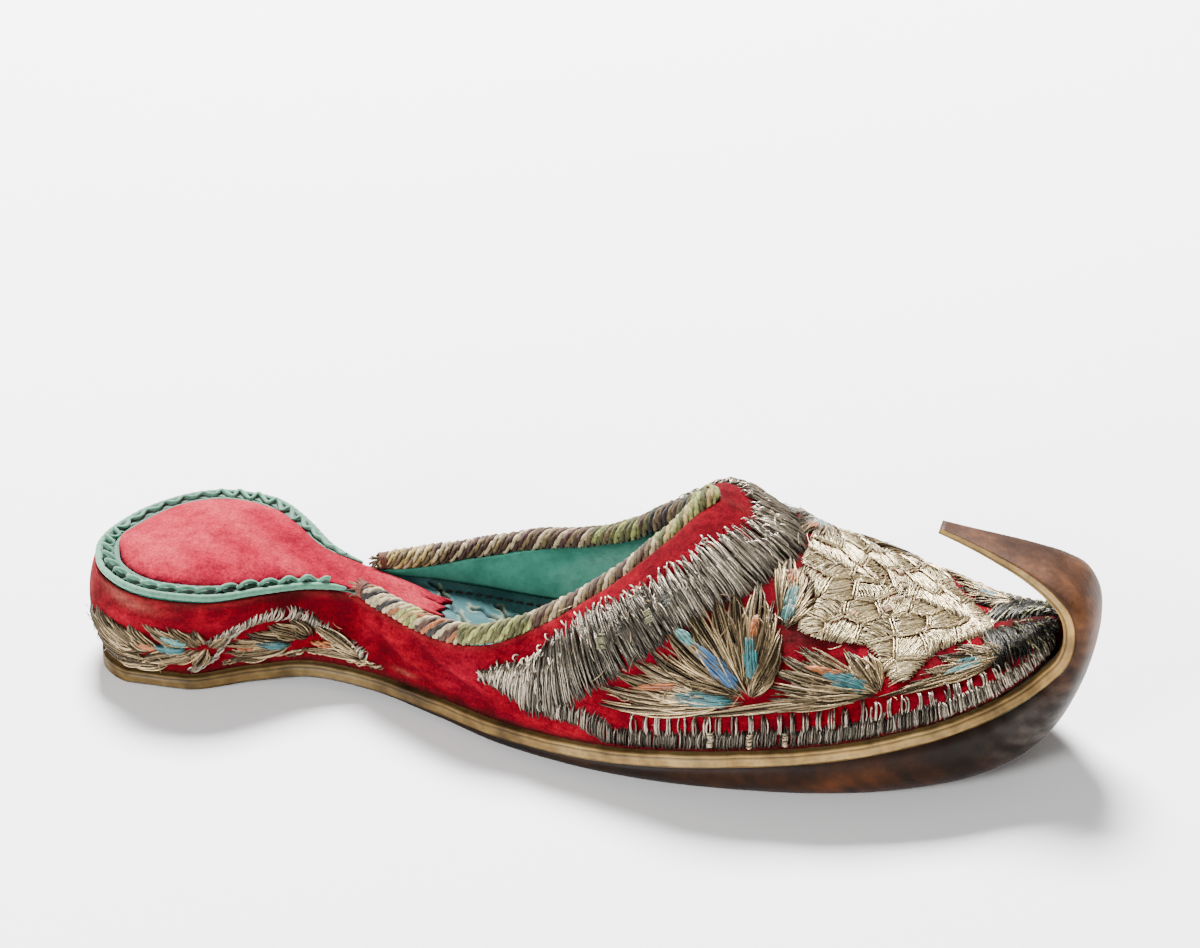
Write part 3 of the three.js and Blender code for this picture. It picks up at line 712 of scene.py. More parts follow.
def tube_points(path: Array, radius: Array, sides: int, squash: float = 1.0, up: Array | None = None) -> Array:
    """Rings of points round a path.

    Args:
        path: points of the middle line.
        radius: radius at each point, or one for all.
        sides: points in a ring.
        squash: height of the section over its width.
        up: direction of the section's height at each point, or None to carry one along.

    Returns:
        Path by sides by 3.
    """
    tangent = unit(np.gradient(path, axis=0))
    if up is None:
        up = np.zeros_like(path)
        current = np.array([0.0, 0.0, 1.0])
        for i, along in enumerate(tangent):
            current = current - along * current.dot(along)
            current = current / max(np.linalg.norm(current), 1e-9)
            up[i] = current
    else:
        up = unit(up - tangent * np.sum(up * tangent, 1, keepdims=True))
    across = np.cross(tangent, up)
    angle = np.arange(sides) / sides * 2 * math.pi
    radius = np.broadcast_to(np.asarray(radius, float), (len(path),))[:, None, None]
    ring = np.cos(angle)[None, :, None] * across[:, None] + squash * np.sin(angle)[None, :, None] * up[:, None]
    return path[:, None] + radius * ring


# Finishes.


class Shade:
    """A material's node tree, built node by node."""

    def __init__(self, name: str) -> None:
        """Starts a material with its main shader.

        Args:
            name: the material's name.
        """
        self.material = bpy.data.materials.new(name)
        self.material.use_nodes = True
        self.tree = self.material.node_tree
        self.shader = self.tree.nodes["Principled BSDF"]
        self.place = self.tree.nodes.new("ShaderNodeTexCoord").outputs["Object"]

    def set(self, **values: object) -> None:
        """Sets uniform sockets of the shader, with underscores for spaces."""
        for name, value in values.items():
            socket = self.shader.inputs[name.replace("_", " ")]
            socket.default_value = (*value, 1) if isinstance(value, tuple) else value

    def node(self, kind: str, **settings: object) -> bpy.types.Node:
        """Adds a node and sets its properties and sockets.

        Args:
            kind: the node's type after ShaderNode.
            settings: properties by name, or sockets by name with underscores for spaces.

        Returns:
            The node.
        """
        made = self.tree.nodes.new("ShaderNode" + kind)
        for name, value in settings.items():
            if hasattr(made, name):
                setattr(made, name, value)
                continue
            socket = made.inputs[name.replace("_", " ")]
            if isinstance(value, bpy.types.NodeSocket):
                self.tree.links.new(value, socket)
            else:
                socket.default_value = (*value, 1) if isinstance(value, tuple) and len(value) == 3 and (
                    socket.type == "RGBA") else value
        return made

    def link(self, source: bpy.types.NodeSocket, name: str) -> None:
        """Leads a socket into one of the shader's."""
        self.tree.links.new(source, self.shader.inputs[name])

    def noise(self, scale: float, detail: float = 4, rough: float = 0.55, stretch: Sequence[float] = ()) -> object:
        """Value noise over the object's own coordinates.

        Args:
            scale: features per metre.
            detail: octaves.
            rough: strength of the finer octaves.
            stretch: scale along each axis, or nothing.

        Returns:
            The noise's value socket.
        """
        place = self.place
        if stretch:
            place = self.node("Mapping", Vector=self.place, Scale=Vector(stretch)).outputs[0]
        made = self.node("TexNoise", Vector=place, Scale=scale, Detail=detail, Roughness=rough)
        return made.outputs["Fac"]

    def ramp(self, value: bpy.types.NodeSocket, *stops: tuple[float, Colour]) -> bpy.types.NodeSocket:
        """Colour ramp.

        Args:
            value: what the ramp reads.
            stops: places and their colours.

        Returns:
            The colour socket.
        """
        made = self.node("ValToRGB", Fac=value)
        ramp = made.color_ramp
        while len(ramp.elements) < len(stops):
            ramp.elements.new(0.5)
        for element, (position, colour) in zip(ramp.elements, stops):
            element.position = position
            element.color = (*colour, 1)
        return made.outputs["Color"]

    def level(self, value: bpy.types.NodeSocket, low: float, high: float, to_low: float = 0, to_high: float = 1):
        """Maps a range of values to another, held at its ends."""
        made = self.node("MapRange", Value=value)
        for name, number in (("From Min", low), ("From Max", high), ("To Min", to_low), ("To Max", to_high)):
            made.inputs[name].default_value = number
        return made.outputs[0]

    def mix(self, share: object, first: object, second: object, blend: str = "MIX") -> bpy.types.NodeSocket:
        """Mixes two colours.

        Args:
            share: socket or number of the second colour's share.
            first: socket or colour.
            second: socket or colour.
            blend: how they mix.

        Returns:
            The colour socket.
        """
        made = self.tree.nodes.new("ShaderNodeMix")
        made.data_type = "RGBA"
        made.blend_type = blend
        for number, value in ((0, share), (6, first), (7, second)):
            socket = made.inputs[number]
            if isinstance(value, bpy.types.NodeSocket):
                self.tree.links.new(value, socket)
            else:
                socket.default_value = (*value, 1) if isinstance(value, tuple) else value
        return made.outputs[2]

    def math(self, operation: str, first: object, second: object = 0.0) -> bpy.types.NodeSocket:
        """Result of one operation on sockets or numbers."""
        made = self.tree.nodes.new("ShaderNodeMath")
        made.operation = operation
        for number, value in ((0, first), (1, second)):
            if isinstance(value, bpy.types.NodeSocket):
                self.tree.links.new(value, made.inputs[number])
            else:
                made.inputs[number].default_value = value
        return made.outputs[0]

    def tint(self) -> bpy.types.NodeSocket:
        """Colour kept on the piece's points."""
        return self.node("Attribute", attribute_name="tint").outputs["Color"]

    def bump(self, height: bpy.types.NodeSocket, depth: float, strength: float = 1.0) -> None:
        """Bumps the surface, adding to an earlier bump.

        Args:
            height: value that rises and falls.
            depth: height of a full step, in metres.
            strength: share of it that shows.
        """
        made = self.node("Bump", Height=height, Distance=depth, Strength=strength)
        if self.shader.inputs["Normal"].is_linked:
            self.tree.links.new(self.shader.inputs["Normal"].links[0].from_socket, made.inputs["Normal"])
        self.link(made.outputs[0], "Normal")


@dataclass(frozen=True)
class Velvet:
    """Cut pile cloth: crushed where dark, rubbed where pale.

    The piece's points keep three numbers: painted light and shade, how worn, and dirt together with painted shade.
    """

    name: str
    deep: Colour
    body: Colour
    rubbed: Colour
    # Colour of dirt and of painted shade.
    soil: Colour = (0.012, 0.006, 0.005)
    worn: Colour = (0.30, 0.12, 0.08)
    sheen: float = 0.14

    def make(self) -> bpy.types.Material:
        """Builds the material."""
        shade = Shade(self.name)
        cloud = shade.noise(60, 5, 0.62)
        streak = shade.noise(300, 4, 0.65, (1, 1, 2.0))
        pile = shade.noise(1500, 3, 0.7)
        marks = shade.node("SeparateColor", Color=shade.tint()).outputs
        colour = shade.ramp(cloud, (0.28, self.deep), (0.5, self.body), (0.8, self.rubbed))
        colour = shade.mix(shade.level(streak, 0.42, 0.7, 0.0, 0.75), colour, self.deep)
        thin = shade.math("MULTIPLY", marks[1], shade.level(streak, 0.3, 0.6, 1.2, 0.6))
        colour = shade.mix(thin, colour, self.worn)
        # The third mark darkens towards that colour, for dirt and for painted shade.
        dirt_and_shade = shade.math("MULTIPLY", marks[2], shade.level(pile, 0.3, 0.7, 1.0, 0.7))
        colour = shade.mix(dirt_and_shade, colour, self.soil)
        speck = shade.ramp(pile, (0.32, (0.62, 0.62, 0.62)), (0.66, (1.25, 1.25, 1.25)))
        colour = shade.mix(1.0, colour, speck, "MULTIPLY")
        # The first mark is painted light and shade, multiplied into the colour.
        lit = shade.node("CombineColor", Red=marks[0], Green=marks[0], Blue=marks[0]).outputs[0]
        shade.link(shade.mix(1.0, colour, lit, "MULTIPLY"), "Base Color")
        shade.set(Roughness=0.95, Sheen_Weight=self.sheen, Sheen_Roughness=0.35, Sheen_Tint=self.rubbed)
        shade.set(Specular_IOR_Level=0.05)
        shade.bump(pile, 0.00022, 0.7)
        shade.bump(shade.noise(420, 3, 0.6), 0.0006, 0.6)
        return shade.material


@dataclass(frozen=True)
class Leather:
    """Tanned leather with mottling, grain and scuffs."""

    name: str
    dark: Colour
    body: Colour
    light: Colour
    rough: float = 0.5
    coat: float = 0.15
    grain: float = 900.0
    depth: float = 0.00015

    def make(self) -> bpy.types.Material:
        """Builds the material."""
        shade = Shade(self.name)
        cloud = shade.noise(38, 6, 0.62)
        fleck = shade.noise(420, 4, 0.7)
        colour = shade.ramp(cloud, (0.32, self.dark), (0.5, self.body), (0.72, self.light))
        colour = shade.mix(shade.level(fleck, 0.45, 0.72, 0, 0.5), colour, self.dark)
        shade.link(shade.mix(1.0, colour, shade.tint(), "MULTIPLY"), "Base Color")
        shade.link(shade.level(cloud, 0.3, 0.7, self.rough - 0.1, self.rough + 0.12), "Roughness")
        shade.set(Coat_Weight=self.coat, Coat_Roughness=0.35, Specular_IOR_Level=0.12)
        shade.bump(shade.noise(self.grain, 4, 0.65), self.depth, 0.6)
        shade.bump(shade.noise(90, 3, 0.5), 0.0009, 0.35)
        return shade.material


@dataclass(frozen=True)
class Yarn:
    """Spun thread or fabric that takes its colour from the piece's points."""

    name: str
    metallic: float
    rough: float
    sheen: float = 0.0
    mottle: float = 0.35
    grain: float = 2200.0
    depth: float = 0.0001

    def make(self) -> bpy.types.Material:
        """Builds the material."""
        shade = Shade(self.name)
        colour = shade.tint()
        fleck = shade.noise(self.grain * 0.6, 3, 0.6)
        low = (1 - self.mottle,) * 3
        colour = shade.mix(1.0, colour, shade.ramp(fleck, (0.3, low), (0.62, (1.0, 1.0, 1.0))), "MULTIPLY")
        shade.link(colour, "Base Color")
        shade.set(Metallic=self.metallic, Roughness=self.rough, Sheen_Weight=self.sheen)
        shade.bump(shade.noise(self.grain, 2, 0.5), self.depth, 0.8)
        return shade.material


@dataclass(frozen=True)
class Ground:
    """The pale floor."""

    name: str
    colour: Colour

    def make(self) -> bpy.types.Material:
        """Builds the material."""
        shade = Shade(self.name)
        tone = tuple(c * 0.985 for c in self.colour)
        shade.link(shade.ramp(shade.noise(3, 2), (0.4, tone), (0.6, self.colour)), "Base Color")
        shade.set(Roughness=0.85, Specular_IOR_Level=0.1)
        return shade.material


def white(count: int) -> Array:
    """Plain tint for points that keep their finish's own colour."""
    return np.ones((count, 3))


def attach(piece: bpy.types.Object, slot: str, *nodes: str) -> bpy.types.Object:
    """Sets a finished piece on the shoe.

    Args:
        piece: the object, in place.
        slot: not used.
        nodes: CAD nodes that it stands for.

    Returns:
        The piece.
    """
    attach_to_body(piece, "root")
    if nodes:
        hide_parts(*nodes)
    return piece


@dataclass
class Outsole:
    """Leather sole with its pressed cut edge and the beak it runs into."""

    form: SoleForm
    stations: int = 300
    hull_points: int = 14
    dish_points: int = 12
    band_points: int = 15
    groove: float = 0.38
    hull: Leather = Leather("sole_hull", (0.0028, 0.0012, 0.0006), (0.010, 0.0036, 0.0015), (0.034, 0.0115, 0.004), 0.5, 0.0)
    edge: Leather = Leather("sole_edge", (0.055, 0.03, 0.009), (0.21, 0.125, 0.038), (0.35, 0.235, 0.09), 0.6)

    def band_profile(self) -> tuple[Array, Array]:
        """Height share and depth share of points across the cut edge."""
        share = np.linspace(0, 1, self.band_points)
        grooves = 0.15 * np.exp(-(((share - 0.36) / 0.1) ** 2)) + 1.1 * np.exp(-(((share - 0.7) / 0.07) ** 2))
        rounded = 1.1 * (1 - np.minimum(1, share / 0.12)) ** 2 + 1.4 * (np.maximum(0, share - 0.86) / 0.14) ** 2
        return share, grooves + rounded

    def build(self) -> bpy.types.Object:
        """Builds and dresses the sole.

        Returns:
            The object.
        """
        curve, end = self.form.curve, self.form.end
        row = curve.at(np.linspace(0, end, self.stations))
        row = {name: value[:, None] for name, value in row.items()}
        top = row["rise"] + row["band"]
        level = row["half"] * row["flat"]
        angle = np.linspace(0, math.pi / 2, self.hull_points)[None]
        out = np.sin(angle) ** (2 / self.form.hull_fullness)
        climb = 1 - np.cos(angle) ** (2 / self.form.hull_fullness)
        level_shares = np.linspace(0, 1, 7)[None, :-1]
        y = [level * level_shares, level + (row["half"] - level) * out]
        up = [level * level_shares * 0, row["rise"] * climb]
        share, depth = self.band_profile()
        groove = np.minimum(self.groove, row["half"] * 0.1)
        wave = 0.16 * np.sin(row["x"] / 3.1) + 0.12 * np.sin(row["x"] / 1.3 + 1)
        y.append(row["half"] - groove * depth[None] + wave * np.minimum(1, row["half"] / 20) * 0.6)
        up.append(row["rise"] + row["band"] * share[None])
        inner = row["half"] - self.form.lip(row)
        dish = np.maximum(0, top - row["thick"])
        angle = np.linspace(math.pi / 2, 0, self.dish_points)[None]
        y.append(inner * np.sin(angle) ** (2 / self.form.dish_fullness))
        up.append(top - dish * np.cos(angle) ** (2 / self.form.dish_fullness))
        y, up = np.concatenate(y, 1), np.concatenate(up, 1)
        half = self.form.on_section(row, y, up)
        other = mirrored(half[:, -2:0:-1])
        rings = np.concatenate([half, other], 1)
        count = rings.shape[1]
        faces = MeshKit.grid_faces(self.stations, count, wrap=True)
        low = 6 + self.hull_points
        high = low + self.band_points
        column = np.tile(np.arange(count), self.stations - 1)
        folded = np.minimum(column, count - 1 - column)
        look = ((folded >= low - 1) & (folded < high + 1)).astype(int)
        look[folded >= high + 1] = 1
        caps = [MeshKit.end_fan((self.stations - 1) * count, count, True)]
        faces = np.concatenate([faces, *caps])
        look = np.concatenate([look, np.ones(len(caps[0]), int)])
        points = rings.reshape(-1, 3)
        looks = [self.hull.make(), self.edge.make()]
        piece = MeshKit.make("sole_leather", points, faces, looks, look, self.tints(rings, low, high), True)
        return attach(piece, "sole_leather", "outsole")

    def tints(self, rings: Array, low: int, high: int) -> Array:
        """Colours the sole: dark grooves and borders, a scuffed prow with a painted sheen, a paler beak with scuffs and
        a painted highlight at its bend, a paler underside, and painted shade just under the cut edge.

        Args:
            rings: the sole's points, stations by ring by 3.
            low: number of the cut edge's first point in a ring.
            high: number just past its last.

        Returns:
            A tint for each point.
        """
        count = rings.shape[1]
        depth = self.band_profile()[1]
        column = np.arange(count)
        folded = np.minimum(column, count - column)
        tone = np.ones((len(rings), count))
        band = (folded >= low) & (folded < high)
        tone[:, band] = 1.05 - 0.75 * np.clip(depth, 0, 1)[folded[band] - low]
        x, y, z = rings[..., 0], rings[..., 1], rings[..., 2]
        heel = smoothstep(130, 60, x)
        tone = np.where(band, tone * (1 - 0.5 * heel), tone)
        patch = np.sin(x * 0.41 + 1.3 * np.sin(z * 0.5)) * np.sin(x * 0.13 + z * 0.3) + 0.4 * np.sin(x * 1.3 + z)
        tone = np.where(band, tone * (1 + 0.26 * patch + 0.5 * smoothstep(225, 238, x)), tone)
        made = np.repeat(tone[..., None], 3, axis=2)
        hull = ~band & (folded < low)
        under = smoothstep(14, 4, z) * smoothstep(150, 200, x)
        # The lighter patch at the bend is scuffs and a painted highlight.
        bend = np.exp(-((x - 240) / 7) ** 2 - ((z - 36) / 12) ** 2)
        tip = smoothstep(40, 52, z) * (x > 200)
        streaks = 0.6 * np.sin(z * 1.9 + x * 0.5) + 0.5 * np.sin(z * 4.1 - x * 0.8)
        # The prow's grey patch is scuffs and a painted sheen.
        prow_scuff_and_sheen = np.exp(-((x - 235) / 10) ** 2 - ((z - 13) / 9) ** 2) * np.clip(0.5 + 0.6 * patch + 0.4 * streaks, 0, 1.3)
        warm = 1 + (under * (1.1 + 1.1 * patch))[..., None] * [1.5, 1.25, 0.9]
        warm = warm + (bend * (3.2 + 1.8 * patch + 0.7 * streaks))[..., None] * [1.7, 1.8, 1.6]
        warm = warm + (tip * (1 + 0.25 * patch))[..., None] * [4.2, 5.0, 6.5] + prow_scuff_and_sheen[..., None] * [9.0, 21.0, 42.0]
        # Painted shade on the hull just under the cut edge.
        rim = 1 - 0.55 * np.exp(-((low - folded) / 1.4) ** 2)
        return (made * np.where(hull[None, :, None], warm * rim[None, :, None], 1.0)).clip(0.1, 50).reshape(-1, 3)


@dataclass
class Upper:
    """Velvet wall of the shoe and the goat leather that lines it."""

    form: WallForm
    relief: Relief
    stations: int = 340
    across: int = 41
    cloth_depth: float = 1.25
    lining_depth: float = 2.0
    velvet: Velvet = Velvet("crimson_velvet", (0.04, 0.0002, 0.0022), (0.135, 0.0003, 0.0052), (0.22, 0.0016, 0.013), sheen=0.08)
    suede: Leather = Leather(
        "green_lining", (0.025, 0.135, 0.095), (0.06, 0.27, 0.195), (0.15, 0.38, 0.29), 0.85, 0.0, 1600, 0.00008
    )

    def sheet(self, stations: int, across: int) -> tuple[Array, Array, Array, int]:
        """The half wall's outer face as a grid.

        Args:
            stations: number of ribs.
            across: number of points up a rib.

        Returns:
            Points and normals, stations by across by 3, the stops, and the throat's station.
        """
        before = round(stations * self.form.throat / self.form.end)
        stops = np.concatenate([
            np.linspace(0, self.form.throat, before + 1),
            np.linspace(self.form.throat, self.form.end, stations - before + 1)[1:],
        ])
        grid = bezier(self.form.knots(stops), np.linspace(0, 1, across))
        grid[before:, -1, 1] = 0
        wide = np.concatenate([mirrored(grid[1:2]), grid, mirrored(grid[-2:-1])])
        along = wide[2:] - wide[:-2]
        over = grid[:, -1:].copy()
        over[before:] = mirrored(grid[before:, -2:-1])
        tall = np.concatenate([grid[:, :1], grid, over], 1)
        rising = tall[:, 2:] - tall[:, :-2]
        normal = unit(np.cross(rising, along))
        normal[:, 0, 2] = 0
        normal = unit(normal)
        normal[grid[..., 1] < 1e-6, 1] = 0
        return grid, unit(normal), stops, before

    def wear(self, s: Array, u: Array, top: Array) -> Array:
        """Painted light and shade, wear, and dirt with painted shade on the velvet.

        Args:
            s: distance along the wall's foot.
            u: distance up the wall.
            top: height of the wall there.

        Returns:
            The three marks for each place.
        """
        # Painted light and shade: darker at the wall's foot, a painted shadow at the waist's foot, painted light near
        # the toe's foot, and crease troughs darker and ridges lighter.
        light = 1 - 0.35 * np.exp(-u / 0.9)
        light *= 1 - 0.45 * np.exp(-((s - 118) / 13) ** 2 - (u / 2.4) ** 2)
        light *= 1 + 0.3 * np.exp(-((s - 226) / 26) ** 2) * (u < 12)
        light *= np.clip(1 + 0.75 * Relief(CREASES).at(s, u), 0.35, 1.5)
        worn = 0.36 * np.exp(-((s - 28) / 7) ** 2 - ((u - 21.5) / 1.6) ** 2)
        worn += 0.42 * np.exp(-(s / 13) ** 2 - ((u - 18.5) / 3.2) ** 2)
        worn += 0.25 * np.exp(-((s - 95) / 3) ** 2 - ((u - 3.4) / 0.7) ** 2)
        worn += 0.06 * np.exp(-((top - u) / 1.2) ** 2) * (s < 190)
        # Painted shadow along the wall's foot; darker under the couched panel and the toe satin; and a soiled place at
        # the side.
        soil = 0.55 * smoothstep(2.6, 0.4, u)
        soil += 0.8 * smoothstep(186, 194, s) * smoothstep(238, 228, s) * smoothstep(22, 27, u)
        soil += 0.35 * np.exp(-((s - 178) / 14) ** 2 - ((u - 21) / 11) ** 2)
        soil += 0.9 * smoothstep(238, 246, s) * smoothstep(6, 12, u)
        return np.stack([light, np.clip(worn, 0, 1), np.clip(soil, 0, 0.92)], -1)

    def shell(
        self, name: str, near: float, far: float, finish: bpy.types.Material, dressed: bool
    ) -> bpy.types.Object:
        """A closed layer of the wall between two depths.

        Args:
            name: the object's name.
            near: depth of its outer face.
            far: depth of its inner face.
            finish: its material.
            dressed: whether it has the velvet's relief, wear, dirt and painted light and shade.

        Returns:
            The object.
        """
        size = (self.stations, self.across) if dressed else (self.stations // 2, self.across // 2)
        grid, normal, stops, throat = self.sheet(*size)
        stations, across = grid.shape[:2]
        steps = np.linalg.norm(np.diff(grid, axis=1), axis=2)
        u = np.concatenate([np.zeros((stations, 1)), np.cumsum(steps, axis=1)], axis=1)
        s = np.repeat(stops[:, None], across, axis=1)
        marks = self.wear(s, u, u[:, -1:]) if dressed else np.ones((*u.shape, 3))
        rise = self.relief.at(s, u) if dressed else np.zeros_like(u)
        rise *= np.clip(u / 1.5, 0, 1)
        points, faces, tints = [], [], []
        size = stations * across
        for side, flip in ((0, False), (1, True)):
            sheets = []
            for depth, share in ((near, 1.0), (far, 0.0)):
                moved = grid - normal * (depth - rise * share)[..., None]
                moved[..., 1] = np.maximum(0, moved[..., 1])
                sheets.append(mirrored(moved) if side else moved)
            start = len(points) * size
            quads = MeshKit.grid_faces(stations, across)
            outer, inner = quads[:, ::-1] + start, quads + start + size
            foot = np.arange(stations - 1) * across + start
            foot = np.stack([foot, foot + across, foot + across + size, foot + size], -1)
            rim = np.arange(throat) * across + across - 1 + start
            rim = np.stack([rim, rim + size, rim + across + size, rim + across], -1)
            made = np.concatenate([outer, inner, foot, rim])
            faces.append(made[:, ::-1] if flip else made)
            points.extend(sheet.reshape(-1, 3) for sheet in sheets)
            tints.extend(marks.reshape(-1, 3) for _ in sheets)
        return MeshKit.make(
            name, np.concatenate(points), np.concatenate(faces), [finish], None, np.concatenate(tints), True
        )

    def build(self) -> list[bpy.types.Object]:
        """Builds the velvet wall and its lining.

        Returns:
            Both objects.
        """
        wall = self.shell("upper_velvet", 0.0, self.cloth_depth, self.velvet.make(), True)
        lining = self.shell("upper_lining", self.cloth_depth + 0.05, self.lining_depth, self.suede.make(), False)
        return [attach(wall, "velvet", "upper"), attach(lining, "sock_leather")]


class Metal(Enum):
    """Thread colours, dark end and light end of each spool."""

    SILVER = ((0.007, 0.006, 0.0035), (0.56, 0.47, 0.36))
    GOLD = ((0.009, 0.0055, 0.0025), (0.54, 0.39, 0.21))
    PALE_GOLD = ((0.03, 0.02, 0.008), (0.82, 0.67, 0.40))
    TARNISHED = ((0.008, 0.008, 0.006), (0.13, 0.12, 0.10))
    OLIVE = ((0.02, 0.02, 0.008), (0.20, 0.19, 0.10))


class Silk(Enum):
    """Silk colours of the leaves' hearts."""

    BLUE = (0.018, 0.07, 0.15)
    TEAL = (0.016, 0.095, 0.10)
    PALE_TEAL = (0.06, 0.17, 0.155)
    ORANGE = (0.28, 0.075, 0.012)
    CREAM = (0.30, 0.20, 0.10)


class LeafRow(NamedTuple):
    """One leaf of a spray: where its tip lies on the wall, its width and its tone."""

    tip_s: float
    tip_u: float
    width: float
    tone: float
    curl: float


class HeartRow(NamedTuple):
    """One silk heart: from its root to its tip on the wall."""

    root_s: float
    root_u: float
    tip_s: float
    tip_u: float
    width: float
    silk: Silk


class BandRow(NamedTuple):
    """One place along the collar band: its outer and inner edge on the wall and its tone."""

    outer_s: float
    outer_u: float
    inner_s: float
    inner_u: float
    tone: float


class CellRow(NamedTuple):
    """One cell of the couched panel: its middle and the lie of its threads in degrees."""

    s: float
    u: float
    lie: float


class PatchRow(NamedTuple):
    """A small patch of short threads: its middle, length, width, lie in degrees and colour."""

    s: float
    u: float
    long: float
    wide: float
    lie: float
    colour: Colour


PANEL_CELLS = [
    CellRow(196.5, 28.6, 6),
    CellRow(203.0, 28.8, 74),
    CellRow(199.5, 34.5, -38),
    CellRow(206.5, 35.0, 22),
    CellRow(194.0, 43.0, 80),
    CellRow(200.5, 42.0, 30),
    CellRow(207.0, 42.5, -62),
    CellRow(198.0, 50.0, 64),
    CellRow(206.0, 50.0, 8),
    CellRow(213.5, 38.0, 82),
    CellRow(211.0, 28.5, -30),
    CellRow(218.0, 31.0, 12),
    CellRow(213.0, 21.5, -10),
    CellRow(219.5, 22.5, 62),
    CellRow(219.0, 15.5, 4),
    CellRow(220.5, 38.0, 40),
    CellRow(226.0, 25.0, -60),
    CellRow(226.5, 32.5, 20),
    CellRow(233.5, 27.0, -48),
]

CREASES = (
    RidgeRow(125, 3.0, 146, 2.6, 2.1, 0.8),
    RidgeRow(84, 13.0, 108, 3.6, 2.0, 0.6),
    RidgeRow(98, 13.0, 120, 4.2, 1.9, -0.5),
    RidgeRow(90, 8.0, 112, 1.8, 1.8, -0.5),
    RidgeRow(86, 17.0, 89, 5.0, 1.6, -0.4),
    RidgeRow(93, 14.0, 97, 4.0, 1.5, 0.35),
    RidgeRow(106, 11.0, 124, 6.2, 1.0, 0.35),
    RidgeRow(70, 17.0, 92, 12.0, 1.8, 0.65),
    RidgeRow(60, 20.0, 80, 15.0, 1.6, -0.6),
    RidgeRow(132, 24.0, 146, 36.0, 1.6, 0.3),
    RidgeRow(20, 20.0, 46, 18.5, 1.5, -0.3),
    RidgeRow(26, 17.5, 60, 18.5, 1.8, 0.3),
)
PADDING = (
    *(RidgeRow(cell.s, cell.u, cell.s, cell.u, 4.0, 0.6) for cell in PANEL_CELLS),
    RidgeRow(183, 14, 170, 26, 2.6, 0.6),
    RidgeRow(182, 12, 166, 14, 2.2, 0.6),
    RidgeRow(185.5, 16, 184, 30, 2.4, 0.5),
    RidgeRow(212, 12, 199, 18, 2.4, 0.5),
)


@dataclass
class Stitches:
    """Stitches laid on the wall, gathered until they become one mesh."""

    form: WallForm
    relief: Relief
    sides: int = 4
    # Brightness left at a thread's ends: painted shade where it sinks into the cloth.
    sunk: float = 0.22
    paths: list[Array] = field(default_factory=list)
    tints: list[Array] = field(default_factory=list)
    faces: list[Array] = field(default_factory=list)
    count: int = 0

    def lay(
        self, start: Array, end: Array, bend: Array, radius: Array, lift: Array, tint: Array, side: int,
        steps: int = 7, flat: float = 0.85,
    ) -> None:
        """Lays single stitches, each from a start to an end over a low arch.

        Args:
            start: start of each on the wall, along and up, count by 2.
            end: end of each, count by 2.
            bend: sideways bow of each at its middle.
            radius: radius of each.
            lift: height of each arch.
            tint: colour of each, count by 3.
            side: 1 or -1, the side of the shoe.
            steps: points along a stitch.
            flat: height of the thread's section over its width.
        """
        t = np.linspace(0, 1, steps)[None, :, None]
        run = end - start
        across = unit(np.stack([-run[:, 1], run[:, 0]], -1))
        path = start[:, None] + run[:, None] * t + (across * bend[:, None])[:, None] * (4 * t * (1 - t))
        arch = 1 - (2 * t[..., 0] - 1) ** 4
        height = lift[:, None] * arch - 0.12 * (1 - arch)
        self.lay_paths(path, radius, height, tint, side, flat)

    def lay_paths(
        self, path: Array, radius: Array, height: Array, tint: Array, side: int, flat: float = 0.85
    ) -> None:
        """Lays threads along paths on the wall.

        Args:
            path: points of each thread on the wall, count by steps by 2.
            radius: radius of each thread.
            height: height over the velvet of each point, count by steps.
            tint: colour of each thread.
            side: 1 or -1, the side of the shoe.
            flat: height of the thread's section over its width.
        """
        number, steps = path.shape[:2]
        s, u = path[..., 0].ravel(), path[..., 1].ravel()
        s = np.clip(s, 0.05, self.form.end - 0.3)
        crest = self.form.height_at(s)
        over = (u > crest) & (s > self.form.throat)
        u = np.where(over, 2 * crest - u, u)
        on = np.where(over, -side, side).astype(float)
        points, normal = self.form.face(s, self.form.share_at(s, u), on)
        raised = height.ravel() + self.relief.at(s, np.minimum(u, crest))
        points = (points + normal * raised[:, None]).reshape(number, steps, 3)
        normal = normal.reshape(number, steps, 3)
        tangent = unit(np.gradient(points, axis=1))
        up = unit(normal - tangent * np.sum(normal * tangent, -1, keepdims=True))
        across = np.cross(tangent, up)
        angle = np.arange(self.sides) / self.sides * 2 * math.pi
        taper = np.ones(steps)
        taper[[0, -1]] = 0.55
        size = (radius[:, None] * taper[None])[..., None, None]
        ring = points[:, :, None] + size * (
            np.cos(angle)[None, None, :, None] * across[:, :, None]
            + flat * np.sin(angle)[None, None, :, None] * up[:, :, None]
        )
        quads = MeshKit.grid_faces(steps, self.sides, wrap=True)
        starts = self.count + np.arange(number)[:, None, None] * steps * self.sides
        self.faces.append((quads[None] + starts).reshape(-1, 4))
        self.paths.append(ring.reshape(-1, 3))
        # Each thread is painted darker towards its ends, as shade where it sinks into the cloth.
        sunk = self.sunk + (1 - self.sunk) * np.sin(np.linspace(0.12, math.pi - 0.12, steps)) ** 0.6
        shaded = tint[:, None, None] * (sunk[None, :] * RNG.uniform(0.8, 1.2, (number, steps)))[:, :, None, None]
        self.tints.append(np.broadcast_to(shaded, (number, steps, self.sides, 3)).reshape(-1, 3))
        self.count += number * steps * self.sides

    def make(self, name: str, finish: bpy.types.Material, slot: str) -> bpy.types.Object:
        """Makes one object of all that was laid.

        Args:
            name: the object's name.
            finish: its material.
            slot: passed on to attach.

        Returns:
            The object.
        """
        points, faces = np.concatenate(self.paths), np.concatenate(self.faces)
        LOG.info("%s: %d faces", name, len(faces))
        return attach(MeshKit.make(name, points, faces, [finish], None, np.concatenate(self.tints)), slot)


